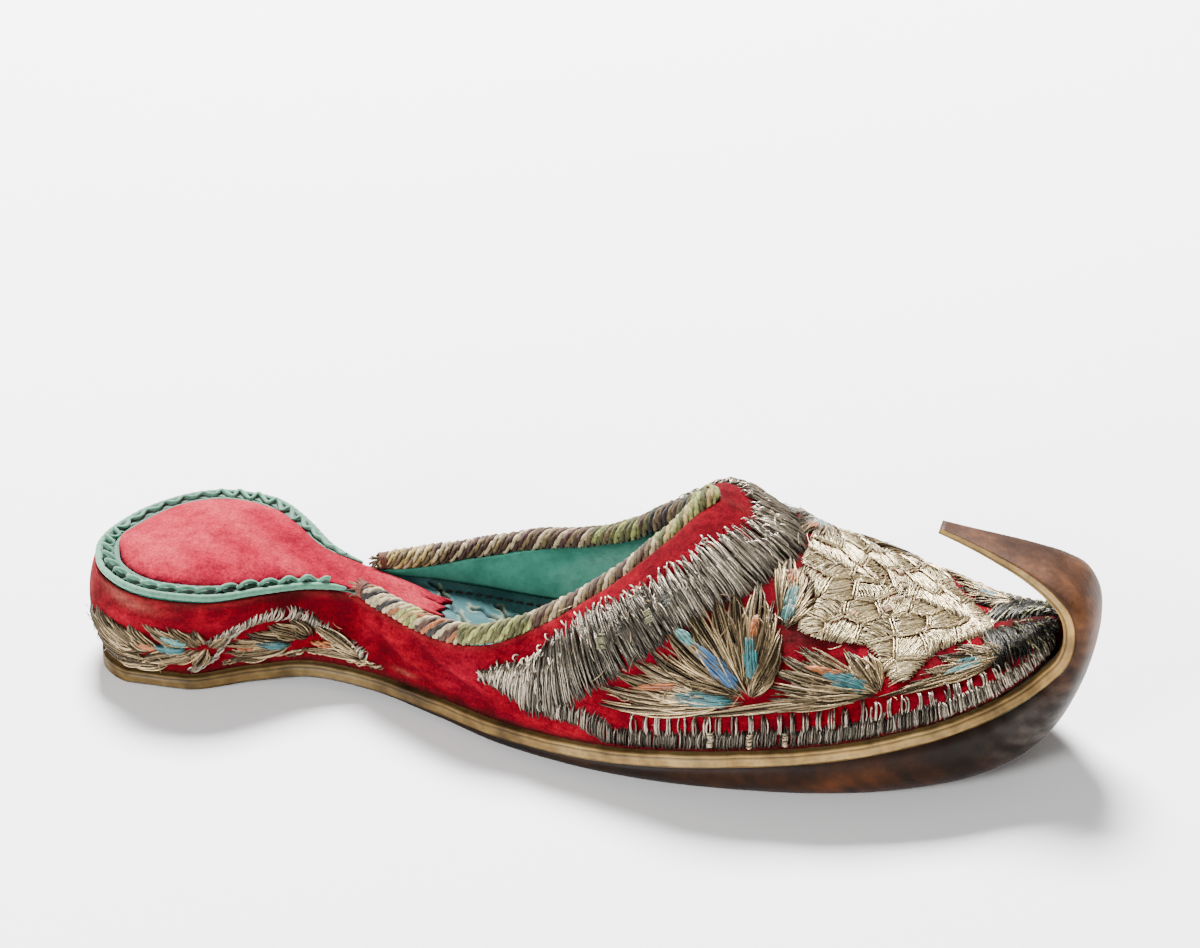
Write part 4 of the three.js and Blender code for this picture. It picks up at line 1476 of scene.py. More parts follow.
def spool(metal: Metal, tone: Array) -> Array:
    """Colours of threads off one spool.

    Args:
        metal: the spool.
        tone: 0 for its dark end to 1 for its light end.

    Returns:
        One colour for each tone.
    """
    dark, light = (np.array(end) for end in metal.value)
    tone = np.clip(tone, 0, 1)[:, None]
    return dark + (light - dark) * tone**1.5


@dataclass
class Needlework:
    """Ways of sewing that every embroidered part of the wall shares."""

    form: WallForm
    relief: Relief
    thread: float = 0.21
    metal: Yarn = Yarn("metal_thread", 0.8, 0.32, 0.0, 0.45, 3400, 0.00012)
    silk: Yarn = Yarn("silk_thread", 0.0, 0.4, 0.0, 0.35, 3000, 0.00012)

    def satin(
        self, work: Stitches, start: Array, end: Array, tone: Array, metal: Metal, side: int, lift: float = 0.55,
        steps: int = 7,
    ) -> None:
        """Lays a row of metal stitches with a hand's unevenness.

        Args:
            work: where they are laid.
            start: start of each on the wall.
            end: end of each.
            tone: how light each thread is.
            metal: the spool.
            side: 1 or -1, the side of the shoe.
            lift: height of the arches.
            steps: points along a stitch.
        """
        number = len(start)
        bend = RNG.normal(0, 0.4, number)
        radius = self.thread * RNG.uniform(0.8, 1.2, number)
        height = lift * RNG.uniform(0.5, 1.45, number)
        mixed = tone * RNG.choice([0.35, 0.75, 1.0, 1.45], number, p=[0.28, 0.3, 0.27, 0.15])
        work.lay(start, end, bend, radius, height, spool(metal, mixed + RNG.normal(0, 0.05, number)), side, steps)

    def leaf(self, work: Stitches, root: Array, leaf: LeafRow, side: int, metal: Metal = Metal.GOLD) -> None:
        """One long leaf of threads that bow apart and meet at its tip.

        Args:
            work: where the threads are laid.
            root: where the leaf starts on the wall.
            leaf: the leaf.
            side: 1 or -1, the side of the shoe.
            metal: the spool.
        """
        count = max(7, round(leaf.width * 5.0))
        place = np.linspace(-1, 1, count) + RNG.normal(0, 0.07, count)
        axis = np.array([leaf.tip_s, leaf.tip_u]) - root
        length = np.linalg.norm(axis)
        along = axis / length
        across = np.array([-along[1], along[0]])
        near = 0.04 + 0.22 * RNG.random(count)
        far = 1 - 0.26 * np.abs(place) ** 1.3 + RNG.normal(0, 0.035, count)
        start = root + along * (near * length)[:, None] + across * (place * leaf.width * 0.2)[:, None]
        end = root + along * (far * length)[:, None] + across * (place * leaf.width * 0.36)[:, None]
        bend = leaf.curl * length / 30 + place * leaf.width * 0.34 + RNG.normal(0, 0.16, count)
        edge = 0.5 + 0.9 * np.abs(place) ** 2
        tone = leaf.tone * edge * RNG.choice([0.3, 0.8, 1.1, 1.6], count, p=[0.25, 0.3, 0.3, 0.15])
        radius = self.thread * 1.1 * RNG.uniform(0.8, 1.2, count)
        work.lay(start, end, bend, radius, RNG.uniform(0.45, 1.15, count), spool(metal, tone), side, 8)
        # Half the threads get a lower layer beneath them, painted darker as shade under the top threads.
        under = RNG.permutation(count)[: count // 2]
        work.lay(
            start[under], end[under] - along * 0.8, bend[under] + RNG.normal(0, 0.5, len(under)), radius[under],
            np.full(len(under), 0.25), spool(metal, tone[under] * 0.3), side, 5,
        )

    def spray(self, work: Stitches, fan: tuple[float, float], leaves: Sequence[LeafRow], side: int) -> None:
        """A fan of long leaves out of one point, with loose threads across them.

        Args:
            work: where the threads are laid.
            fan: the point on the wall.
            leaves: the leaves.
            side: 1 or -1, the side of the shoe.
        """
        root = np.array(fan)
        for leaf in leaves:
            self.leaf(work, root, leaf, side)
        tips = np.array([(leaf.tip_s, leaf.tip_u) for leaf in leaves])
        count = len(leaves) * 6
        first = RNG.integers(0, len(leaves) - 1, count)
        share = RNG.random((count, 1))
        tip = root + (tips[first] * share + tips[first + 1] * (1 - share) - root) * RNG.uniform(0.55, 1.0, (count, 1))
        start = root + (tip - root) * RNG.uniform(0.05, 0.45, (count, 1)) + RNG.normal(0, 0.5, (count, 2))
        tone = RNG.choice([0.4, 0.8, 1.2], count, p=[0.4, 0.35, 0.25])
        work.lay(
            start, tip, RNG.normal(0, 0.35, count), np.full(count, self.thread * 0.9),
            RNG.uniform(0.5, 1.3, count), spool(Metal.GOLD, tone), side, 9,
        )

    def hearts(self, work: Stitches, hearts: Sequence[HeartRow], side: int) -> None:
        """Silk hearts of the leaves, each of three overlapping rows of stitches."""
        for heart in hearts:
            count = max(6, round(heart.width * 3.7))
            place = np.linspace(-1, 1, count)
            root = np.array([heart.root_s, heart.root_u])
            run = np.array([heart.tip_s, heart.tip_u]) - root
            length = np.linalg.norm(run)
            along = run / length
            across = np.array([-along[1], along[0]])
            for part in range(3):
                begin = part * 0.2 + 0.1 * np.abs(place) + RNG.normal(0, 0.03, count)
                finish = np.minimum(1, part * 0.2 + 0.62 - 0.14 * np.abs(place) + RNG.normal(0, 0.04, count))
                spread = place * heart.width * (0.20 + 0.2 * math.sin((0.2 + part / 3) * math.pi))
                start = root + along * (begin * length)[:, None] + across * spread[:, None]
                end = root + along * (finish * length)[:, None] + across * (spread * 0.8)[:, None]
                colour = np.array(heart.silk.value) * RNG.uniform(0.35, 1.7, count)[:, None]
                work.lay(
                    start, end, RNG.normal(0, 0.15, count), np.full(count, self.thread * 1.3),
                    0.95 + 0.25 * RNG.random(count), colour, side,
                )

    def patches(self, work: Stitches, patches: Sequence[PatchRow], side: int) -> None:
        """Small wrapped patches of a few short threads."""
        for patch in patches:
            angle = math.radians(patch.lie)
            along, across = np.array([math.cos(angle), math.sin(angle)]), np.array([-math.sin(angle), math.cos(angle)])
            count = max(4, round(patch.wide / 0.42))
            place = (np.linspace(-0.5, 0.5, count) * patch.wide)[:, None]
            middle = np.array([patch.s, patch.u]) + across * place + RNG.normal(0, 0.12, (count, 2))
            start, end = middle - along * patch.long / 2, middle + along * patch.long / 2
            colour = np.array(patch.colour) * RNG.uniform(0.6, 1.35, count)[:, None]
            work.lay(
                start, end, RNG.normal(0, 0.1, count), np.full(count, self.thread * 1.1),
                np.full(count, 1.15), colour, side,
            )

    def frays(self, work: Stitches, places: Array, reach: float, metal: Metal, side: int) -> None:
        """Loose ends that stand off the work.

        Args:
            work: where they are laid.
            places: where they start on the wall.
            reach: how far they run.
            metal: the spool.
            side: 1 or -1, the side of the shoe.
        """
        count = len(places)
        steps = 7
        t = np.linspace(0, 1, steps)[None, :, None]
        angle = RNG.uniform(0, 2 * math.pi, count)
        away = np.stack([np.cos(angle), np.sin(angle)], -1)
        turn = np.stack([-away[:, 1], away[:, 0]], -1) * RNG.normal(0, 0.6, (count, 1))
        length = reach * RNG.uniform(0.5, 1.2, (count, 1, 1))
        path = places[:, None] + (away[:, None] * t + turn[:, None] * t**2) * length
        height = 0.5 + t[..., 0] * RNG.uniform(0.3, 1.6, (count, 1))
        tone = RNG.uniform(0.5, 1.1, count)
        work.lay_paths(path, np.full(count, self.thread * 0.45), height, spool(metal, tone), side)


@dataclass
class VampWork(Needlework):
    """Embroidery of the vamp: collar band, border, leaf sprays and the couched panel."""

    BAND = [
        BandRow(118.3, 11.8, 119.2, 10.6, 0.85),
        BandRow(123, 14.0, 122.5, 9.2, 0.95),
        BandRow(128, 16.0, 127, 7.6, 1.0),
        BandRow(132.5, 17.6, 132, 6.2, 0.85),
        BandRow(135.5, 21, 137.5, 6, 0.55),
        BandRow(139.5, 26, 146.5, 12.8, 0.45),
        BandRow(144.5, 31, 153, 17, 0.4),
        BandRow(150.3, 33.8, 159, 22, 0.4),
        BandRow(156.3, 36.8, 164.5, 26.5, 0.45),
        BandRow(161.6, 40.8, 169.5, 30.5, 0.65),
        BandRow(166.8, 45.2, 175.5, 34.5, 0.85),
        BandRow(171, 49.6, 181, 39.5, 0.95),
        BandRow(174.8, 54, 185.5, 44.5, 1.0),
        BandRow(178, 58.4, 188, 50.5, 1.0),
        BandRow(180, 62.5, 190, 57.5, 1.0),
    ]
    NEAR_FAN = (186.0, 12.3)
    NEAR_LEAVES = [
        LeafRow(151, 10.6, 2.4, 0.85, 0.8),
        LeafRow(149, 14.4, 3.2, 0.85, 0.6),
        LeafRow(153, 18.0, 3.6, 0.7, 1.0),
        LeafRow(157, 21.4, 3.4, 0.95, 1.2),
        LeafRow(160, 25.0, 3.2, 0.9, 1.4),
        LeafRow(164.5, 29.4, 4.4, 0.65, 1.0),
        LeafRow(169.5, 33.5, 4.4, 0.7, 1.0),
        LeafRow(174, 37.5, 4.2, 0.8, 0.6),
        LeafRow(178, 39.8, 3.8, 0.8, 0.4),
        LeafRow(183, 41.5, 5.4, 0.9, 0.0),
        LeafRow(187.3, 36, 3.4, 0.7, -0.4),
        LeafRow(190, 28.5, 4.2, 0.75, -1.2),
        LeafRow(191, 22.5, 3.0, 0.6, -1.0),
    ]
    MIDDLE_FAN = (215.5, 10.6)
    MIDDLE_LEAVES = [
        LeafRow(169, 8.9, 1.5, 0.9, -0.6),
        LeafRow(187.5, 9.6, 2.2, 0.85, -0.5),
        LeafRow(190, 12.2, 2.2, 0.85, 0.4),
        LeafRow(189.5, 15.4, 2.6, 0.9, 0.7),
        LeafRow(189.5, 19.2, 3.2, 0.8, 1.2),
        LeafRow(191.2, 22.4, 3.2, 0.8, 1.6),
        LeafRow(195, 24.6, 3.4, 0.75, 2.0),
        LeafRow(205, 23.8, 3.2, 0.8, 1.0),
        LeafRow(210.5, 22.4, 2.6, 0.9, 0.6),
    ]
    TIP_FAN = (246.5, 10.2)
    TIP_LEAVES = [
        LeafRow(214, 9.7, 1.8, 0.85, -0.4),
        LeafRow(221, 12.0, 2.6, 0.95, 0.8),
        LeafRow(223.5, 15.4, 3.2, 0.85, 1.4),
        LeafRow(226, 19.6, 3.2, 0.5, 1.6),
        LeafRow(231, 21.8, 3.4, 0.45, 1.4),
        LeafRow(237, 23.2, 3.2, 0.6, 0.8),
    ]
    PANEL_FAN = (190.6, 28.6)
    PANEL_LEAVES = [
        LeafRow(185.5, 50.5, 3.2, 0.85, -0.9),
        LeafRow(187.8, 52, 3.6, 0.95, -0.4),
        LeafRow(191.5, 50.0, 3.2, 0.95, 0.2),
        LeafRow(195, 45.0, 2.8, 0.9, 0.8),
        LeafRow(196.6, 38.0, 2.4, 0.85, 0.8),
    ]
    HEARTS = [
        HeartRow(183.6, 14.4, 171.6, 25.8, 3.8, Silk.BLUE),
        HeartRow(182.6, 12.0, 167.2, 14.0, 3.8, Silk.TEAL),
        HeartRow(185.9, 16.4, 183.4, 27.6, 3.6, Silk.TEAL),
        HeartRow(184.6, 25.4, 183.8, 32.6, 2.2, Silk.ORANGE),
        HeartRow(171.0, 16.0, 159.5, 15.4, 1.5, Silk.ORANGE),
        HeartRow(172.4, 24.6, 167.4, 28.6, 2.6, Silk.PALE_TEAL),
        HeartRow(212.4, 11.8, 200.4, 17.8, 4.0, Silk.TEAL),
        HeartRow(207, 15.8, 196.5, 19.2, 1.8, Silk.ORANGE),
        HeartRow(190.9, 30.6, 190.5, 42.0, 3.6, Silk.PALE_TEAL),
        HeartRow(190.2, 40.5, 188.8, 46.6, 2.4, Silk.ORANGE),
        HeartRow(240.5, 12.0, 228, 12.2, 2.8, Silk.PALE_TEAL),
        HeartRow(238, 13.6, 231, 15.2, 1.8, Silk.TEAL),
    ]
    PATCHES = [
        PatchRow(150, 24.4, 3.4, 3.0, 12, (0.16, 0.16, 0.07)),
        PatchRow(154, 27.8, 2.6, 2.2, 20, (0.05, 0.05, 0.035)),
        PatchRow(161, 31.2, 2.6, 2.4, 25, (0.18, 0.17, 0.08)),
        PatchRow(164.5, 35, 3.0, 2.6, 30, (0.05, 0.055, 0.04)),
        PatchRow(178, 3.5, 1.5, 3.4, 0, (0.44, 0.35, 0.22)),
        PatchRow(187, 3.0, 1.3, 3.2, 0, (0.40, 0.30, 0.18)),
        PatchRow(195, 3.0, 1.2, 2.6, 0, (0.36, 0.27, 0.16)),
        PatchRow(212, 36, 2.2, 2.0, 30, (0.50, 0.30, 0.20)),
        PatchRow(214, 40, 1.8, 1.8, -40, (0.46, 0.36, 0.22)),
        PatchRow(205, 33.5, 1.8, 1.6, 60, (0.46, 0.30, 0.16)),
    ]
    PANEL_EDGE = [
        (189.5, 80), (190.5, 50), (193, 44), (196, 38), (193.5, 33), (193.5, 28.5), (199, 25.6), (209.5, 24.4),
        (214, 17.5), (217, 12.6), (221.5, 12.4), (226.5, 20.4), (233, 22.8), (238.5, 23.6), (241.5, 28), (241, 80),
    ]

    def band(self, work: Stitches, side: int) -> None:
        """Sawtooth band along the collar, in four overlapping passes."""
        rows = RowCurve(self.BAND, walked(self.BAND, "outer_s", "outer_u", "inner_s", "inner_u"))
        # Each pass lies higher than the one before and is painted lighter: the lowest passes darker as shade under the
        # rest, the last brighter as painted highlights.
        for passing, (count, painted_layer_light) in enumerate(((380, 0.22), (440, 0.75), (400, 1.0), (240, 1.4))):
            where = np.sort(RNG.uniform(0, rows.stops[-1], count))
            row = rows.at(where)
            outer = np.stack([row["outer_s"], row["outer_u"]], -1)
            inner = np.stack([row["inner_s"], row["inner_u"]], -1)
            run = unit(outer - inner)
            ragged = smoothstep(14, 24, where)
            tooth = (where / 3.05) % 1
            reach = np.where(tooth < 0.62, 2.8 * tooth / 0.62 - 0.4, -3.8)
            inside = np.where((where / 2.7 + 0.4) % 1 < 0.7, 1.4, -1.8)
            outer = outer + run * (ragged * reach + RNG.normal(0, 0.35, count))[:, None]
            inner = inner - run * (ragged * inside + RNG.normal(0, 0.3, count))[:, None]
            if passing == 3:
                outer = outer - run * RNG.uniform(0, 1.5, (count, 1))
                inner = outer - (outer - inner) * RNG.uniform(0.3, 0.7, (count, 1))
            slant = RNG.normal(0, 0.45, (count, 2))
            self.satin(work, outer, inner + slant, row["tone"] * painted_layer_light, Metal.SILVER, side, 0.3 + 0.25 * passing, 7 if passing else 5)
            if passing == 2:
                # Curled ends, painted brighter than the silver's light end as highlights.
                ends = RNG.permutation(count)[:80]
                curl = outer[ends] + run[ends] * 0.5 + np.stack([run[ends, 1], -run[ends, 0]], -1) * (
                    RNG.choice([-1, 1], (80, 1)) * RNG.uniform(0.4, 1.0, (80, 1)))
                work.lay(
                    outer[ends] - run[ends] * 1.2, curl, RNG.normal(0, 0.5, 80), np.full(80, self.thread),
                    RNG.uniform(0.7, 1.2, 80), spool(Metal.SILVER, np.full(80, 1.0)) * 1.35, side, 6,
                )

    def border(self, work: Stitches, side: int) -> None:
        """Upright stitches along the sole and the posts over them."""
        for passing in range(2):
            s = np.arange(136.0, 262.0, 0.38)
            s = s + RNG.normal(0, 0.12, len(s))
            rise = np.interp(s, [136, 142, 150, 156, 250, 262], [9.5, 9.0, 8.0, 5.2, 5.0, 6.0])
            low = np.interp(s, [136, 146, 153, 262], [5.6, 4.2, 0.6, 0.4])
            lean = np.interp(s, [136, 215, 245, 262], [0.0, 0.3, -2.2, -3.0])
            start = np.stack([s - lean / 2, low + RNG.normal(0, 0.25, len(s))], -1)
            end = np.stack([s + lean / 2, rise + RNG.normal(0, 0.5, len(s))], -1)
            tone = np.interp(s, [136, 158, 225, 240, 255, 262], [0.75, 0.4, 0.42, 0.95, 0.9, 0.5])
            # The first pass lies lower and is painted darker, as shade under the second.
            self.satin(work, start, end, tone * (0.5, 1.0)[passing], Metal.SILVER, side, 0.35 + 0.25 * passing, 7 if passing else 5)
        posts = 157 + np.cumsum(RNG.uniform(2.5, 3.7, 36))
        posts = posts[posts < 249]
        s = (posts[:, None] + np.array([-0.5, -0.17, 0.17, 0.5])[None]).ravel() + RNG.normal(0, 0.07, len(posts) * 4)
        lean = np.interp(s, [150, 215, 245], [0.2, 0.6, 2.6])
        start = np.stack([s + lean * 0.4, np.full(len(s), 3.8)], -1)
        end = np.stack([s - lean * 0.6, 8.9 + RNG.normal(0, 0.5, len(s))], -1)
        self.satin(work, start, end, np.full(len(s), 0.95), Metal.SILVER, side, 0.7)

    def inside_panel(self, points: Array) -> Array:
        """Whether points on the wall lie inside the panel's outline."""
        edge = np.array(self.PANEL_EDGE)
        x, y = points[..., 0], points[..., 1]
        inside = np.zeros(x.shape, bool)
        for (x0, y0), (x1, y1) in zip(edge, np.roll(edge, -1, axis=0)):
            if y0 == y1:
                continue
            crosses = (y0 > y) != (y1 > y)
            inside ^= crosses & (x < (x1 - x0) * (y - y0) / (y1 - y0) + x0)
        return inside

    def panel(self, work: Stitches, side: int) -> None:
        """Couched threads, each cell of the panel with a lie of its own."""
        cells = np.array([(cell.s, cell.u) for cell in PANEL_CELLS])
        t = np.arange(-18, 18, 0.7)
        for turn, spacing, height in ((18, 1.1, 0.15), (0, 0.33, 0.5)):
            for number, cell in enumerate(PANEL_CELLS):
                lie = math.radians(cell.lie + turn)
                along, across = np.array([math.cos(lie), math.sin(lie)]), np.array([-math.sin(lie), math.cos(lie)])
                for offset in np.arange(-14, 14, spacing):
                    line = cells[number] + across * offset + along * t[:, None]
                    arc = 0.04 * (t**2) * (1 if number % 2 else -1)
                    line = line + across * arc[:, None]
                    near = np.argmin(np.linalg.norm(line[:, None] - cells[None], axis=2), axis=1) == number
                    kept = near & self.inside_panel(line) & (line[:, 1] < self.form.height_at(line[:, 0]) + 0.2)
                    for run in np.split(np.arange(len(t)), np.where(np.diff(kept.astype(int)) != 0)[0] + 1):
                        if kept[run[0]] and len(run) >= 3:
                            self.couch(work, line[run], height, side)
        self.panel_cords(work, cells, side)

    def couch(self, work: Stitches, line: Array, high: float, side: int) -> None:
        """One couched thread along a line, sewn down every few millimetres.

        Args:
            work: where it is laid.
            line: points on the wall.
            high: its height over the cloth.
            side: 1 or -1, the side of the shoe.
        """
        steps = 9
        along = np.linspace(0, len(line) - 1, steps)
        path = np.stack([np.interp(along, np.arange(len(line)), line[:, k]) for k in range(2)], -1)
        length = np.linalg.norm(line[-1] - line[0])
        phase = RNG.uniform(0, 6.28)
        t = np.linspace(0, 1, steps) * length
        run = unit(line[-1:] - line[:1])[0]
        across = np.array([-run[1], run[0]])
        sway = 0.1 * np.sin(t / 2.6 * math.pi + phase) + RNG.normal(0, 0.04, steps)
        path = path + across * sway[:, None]
        height = high + 0.1 * np.sin(t / 3.1 * 2 * math.pi + phase) + RNG.normal(0, 0.06)
        height[[0, -1]] = 0.05
        # Threads that lie lower are painted darker, as shade under the upper layer.
        tone = RNG.choice([0.42, 0.75, 1.0, 1.2], 1, p=[0.15, 0.2, 0.35, 0.3]) * min(1.0, 0.5 + high)
        radius = np.array([self.thread * RNG.uniform(0.62, 0.92)])
        work.lay_paths(path[None], radius, height[None], spool(Metal.PALE_GOLD, tone), side)

    def panel_cords(self, work: Stitches, cells: Array, side: int) -> None:
        """Pairs of cords along the borders between the cells."""
        t = np.arange(-14, 14, 0.4)
        for a in range(len(cells)):
            for b in range(a + 1, len(cells)):
                middle, gap = (cells[a] + cells[b]) / 2, cells[b] - cells[a]
                if np.linalg.norm(gap) > 13:
                    continue
                across = gap / np.linalg.norm(gap)
                line = middle + np.array([-across[1], across[0]]) * t[:, None]
                order = np.argsort(np.linalg.norm(line[:, None] - cells[None], axis=2), axis=1)[:, :2]
                kept = np.all(np.sort(order, axis=1) == [a, b], axis=1) & self.inside_panel(line)
                kept &= line[:, 1] < self.form.height_at(line[:, 0])
                if kept.sum() < 5:
                    continue
                ends = line[np.where(kept)[0][[0, -1]]]
                for offset, tone in ((-0.36, 1.1), (0.36, 0.95)):
                    path = ends[0] + (ends[1] - ends[0]) * np.linspace(0, 1, 16)[:, None] + across * offset
                    path = path + RNG.normal(0, 0.09, path.shape)
                    height = np.full(16, 0.95)
                    height[[0, -1]] = 0.3
                    work.lay_paths(
                        path[None], np.array([self.thread * 1.05]), height[None],
                        spool(Metal.PALE_GOLD, np.array([tone])), side,
                    )

    def toe(self, work: Stitches, side: int) -> None:
        """Dark satin over the toe, down from the crest."""
        count = 300
        s = RNG.uniform(238, 262, count)
        crest = self.form.height_at(s)
        start = np.stack([s - 1.5, crest - RNG.uniform(0, 2.5, count)], -1)
        end = np.stack([s + 4.5 + RNG.normal(0, 0.6, count), crest * RNG.uniform(0.2, 0.55, count)], -1)
        self.satin(work, start, end, RNG.uniform(0.3, 1.0, count), Metal.TARNISHED, side, 0.8)
        few = 40
        s = RNG.uniform(240, 258, few)
        crest = self.form.height_at(s)
        start = np.stack([s, crest * RNG.uniform(0.5, 0.95, few)], -1)
        end = start + np.stack([RNG.uniform(2, 6, few), -RNG.uniform(2, 8, few)], -1)
        self.satin(work, start, end, np.full(few, 1.0), Metal.OLIVE, side, 1.1)

    def build(self) -> list[bpy.types.Object]:
        """Embroiders both sides of the vamp.

        Returns:
            The objects of metal thread, panel and silk.
        """
        metal, silk = self.metal.make(), self.silk.make()
        band, satin, sprays, panel, hearts = (Stitches(self.form, self.relief) for _ in range(5))
        # The couched panel's threads keep more light at their ends: less painted shade.
        panel.sunk = 0.6
        for side in (-1, 1):
            self.border(satin, side)
            self.band(band, side)
            self.toe(satin, side)
            self.panel(panel, side)
            self.spray(sprays, self.TIP_FAN, self.TIP_LEAVES, side)
            self.spray(sprays, self.MIDDLE_FAN, self.MIDDLE_LEAVES, side)
            self.spray(sprays, self.PANEL_FAN, self.PANEL_LEAVES, side)
            self.spray(sprays, self.NEAR_FAN, self.NEAR_LEAVES, side)
            self.hearts(hearts, self.HEARTS, side)
            self.patches(hearts, self.PATCHES, side)
            places = np.stack([RNG.uniform(140, 240, 60), RNG.uniform(6, 40, 60)], -1)
            self.frays(sprays, places, 3.0, Metal.GOLD, side)
            crest = RNG.uniform(182, 240, 26)
            places = np.stack([crest, self.form.height_at(crest) - RNG.uniform(0, 3, 26)], -1)
            self.frays(panel, places, 3.5, Metal.PALE_GOLD, side)
        return [
            band.make("collar_band", metal, "velvet"),
            satin.make("border_satin", metal, "velvet"),
            sprays.make("leaf_sprays", metal, "velvet"),
            panel.make("couched_panel", metal, "velvet"),
            hearts.make("silk_hearts", silk, "velvet"),
        ]


@dataclass
class HeelWork(Needlework):
    """Garland of leaves round the covered heel."""

    LEAVES = [
        ((32, 6.0), LeafRow(15, 13.6, 4.0, 0.7, 1.4)),
        ((32, 6.4), LeafRow(19, 15.4, 3.6, 0.8, 1.2)),
        ((33, 6.4), LeafRow(24, 15.0, 3.4, 0.7, 0.8)),
        ((34, 7.0), LeafRow(29, 15.0, 3.2, 0.8, 0.6)),
        ((30, 3.6), LeafRow(17, 8.2, 3.2, 0.6, 0.8)),
        ((33, 3.0), LeafRow(20, 4.6, 2.8, 0.7, 0.6)),
        ((38, 2.6), LeafRow(24, 1.8, 2.2, 0.8, 0.3)),
        ((43, 10.0), LeafRow(33, 17.0, 3.0, 0.6, 0.9)),
        ((44, 10.5), LeafRow(38.5, 17.2, 2.6, 0.7, 0.6)),
        ((44.5, 9.5), LeafRow(42.5, 15.2, 2.0, 0.8, 0.3)),
        ((43.5, 9.0), LeafRow(28, 2.6, 2.4, 0.95, -0.9)),
        ((44.5, 8.5), LeafRow(34, 3.0, 2.6, 0.8, -0.6)),
        ((46, 8.5), LeafRow(41.5, 2.2, 2.2, 0.9, -0.3)),
        ((45.5, 10), LeafRow(44.5, 16.4, 1.4, 0.9, 0.2)),
        ((46, 8), LeafRow(52, 13.6, 1.6, 0.8, 0.3)),
        ((65, 4.6), LeafRow(50, 9.0, 2.6, 0.85, 0.6)),
        ((66, 4.2), LeafRow(49.5, 5.2, 2.4, 0.8, 0.4)),
        ((66, 5.0), LeafRow(55.5, 11.0, 2.8, 0.8, 0.7)),
        ((68, 5.5), LeafRow(60.5, 11.6, 2.8, 0.75, 0.6)),
        ((70, 5.5), LeafRow(65, 11.0, 2.4, 0.8, 0.4)),
        ((62, 3.2), LeafRow(49, 2.6, 1.8, 0.7, 0.3)),
        ((84, 3.0), LeafRow(69, 9.4, 2.2, 0.8, 0.8)),
        ((85, 2.8), LeafRow(71, 5.0, 1.8, 0.7, 0.4)),
        ((85, 2.6), LeafRow(66, 2.8, 1.4, 0.8, -0.4)),
    ]
    HEARTS = [
        HeartRow(41, 9.0, 33.5, 9.8, 2.8, Silk.TEAL),
        HeartRow(42.5, 11.4, 36, 14.4, 2.6, Silk.PALE_TEAL),
        HeartRow(35, 9.2, 29.5, 9.8, 2.2, Silk.ORANGE),
        HeartRow(64.5, 4.4, 56.5, 7.4, 2.8, Silk.TEAL),
        HeartRow(56.5, 6.2, 52.5, 6.8, 1.6, Silk.ORANGE),
        HeartRow(75.5, 4.2, 69.5, 4.8, 1.5, Silk.ORANGE),
    ]
    ARC = [(47, 11.0), (51, 13.0), (55, 14.6), (60, 14.8), (64, 13.6), (68, 11.4), (71, 9.0), (75, 6.6), (79, 5.2), (84, 3.6)]
    STROKE = [(41, 1.8), (45, 3.4), (48, 6.0), (50, 9.2), (52, 11.8), (56, 14.2)]
    EDGE = [(49, 2.2), (56, 2.8), (64, 2.4), (72, 2.8), (80, 2.2), (88, 2.4)]

    fuller: float = 1.25

    def row_of_stitches(
        self, work: Stitches, line: Sequence[tuple[float, float]], tall: float, lie: float, metal: Metal, side: int
    ) -> None:
        """Short stitches side by side along a line on the wall.

        Args:
            work: where they are laid.
            line: the line's knots.
            tall: length of a stitch.
            lie: its angle from the wall's foot, in degrees.
            metal: the spool.
            side: 1 or -1, the side of the shoe.
        """
        knots = np.array([(*place, 0.0) for place in line])
        length = np.sum(np.linalg.norm(np.diff(knots, axis=0), axis=1))
        middle = resample(knots, round(length / 0.3))[:, :2]
        angle = math.radians(lie)
        reach = np.array([math.cos(angle), math.sin(angle)]) * tall / 2
        count = len(middle)
        wide = RNG.uniform(0.75, 1.2, (count, 1))
        start = middle - reach * wide + RNG.normal(0, 0.2, (count, 2))
        end = middle + reach * wide + RNG.normal(0, 0.2, (count, 2))
        self.satin(work, start, end, np.full(count, 0.9), metal, side, 0.45)

    def build(self) -> list[bpy.types.Object]:
        """Embroiders both sides of the heel.

        Returns:
            The objects of metal thread and of silk.
        """
        leaves, hearts = Stitches(self.form, self.relief), Stitches(self.form, self.relief)
        for side in (-1, 1):
            for root, leaf in self.LEAVES:
                self.leaf(leaves, np.array(root), leaf._replace(width=leaf.width * self.fuller), side)
            self.row_of_stitches(leaves, self.ARC, 3.4, 68, Metal.SILVER, side)
            self.row_of_stitches(leaves, self.STROKE, 2.6, 40, Metal.SILVER, side)
            self.row_of_stitches(leaves, self.EDGE, 2.4, 10, Metal.GOLD, side)
            self.hearts(hearts, self.HEARTS, side)
            places = np.stack([RNG.uniform(14, 76, 40), RNG.uniform(3, 13, 40)], -1)
            self.frays(leaves, places, 2.2, Metal.GOLD, side)
        return [
            leaves.make("heel_garland", self.metal.make(), "velvet"),
            hearts.make("heel_hearts", self.silk.make(), "velvet"),
        ]


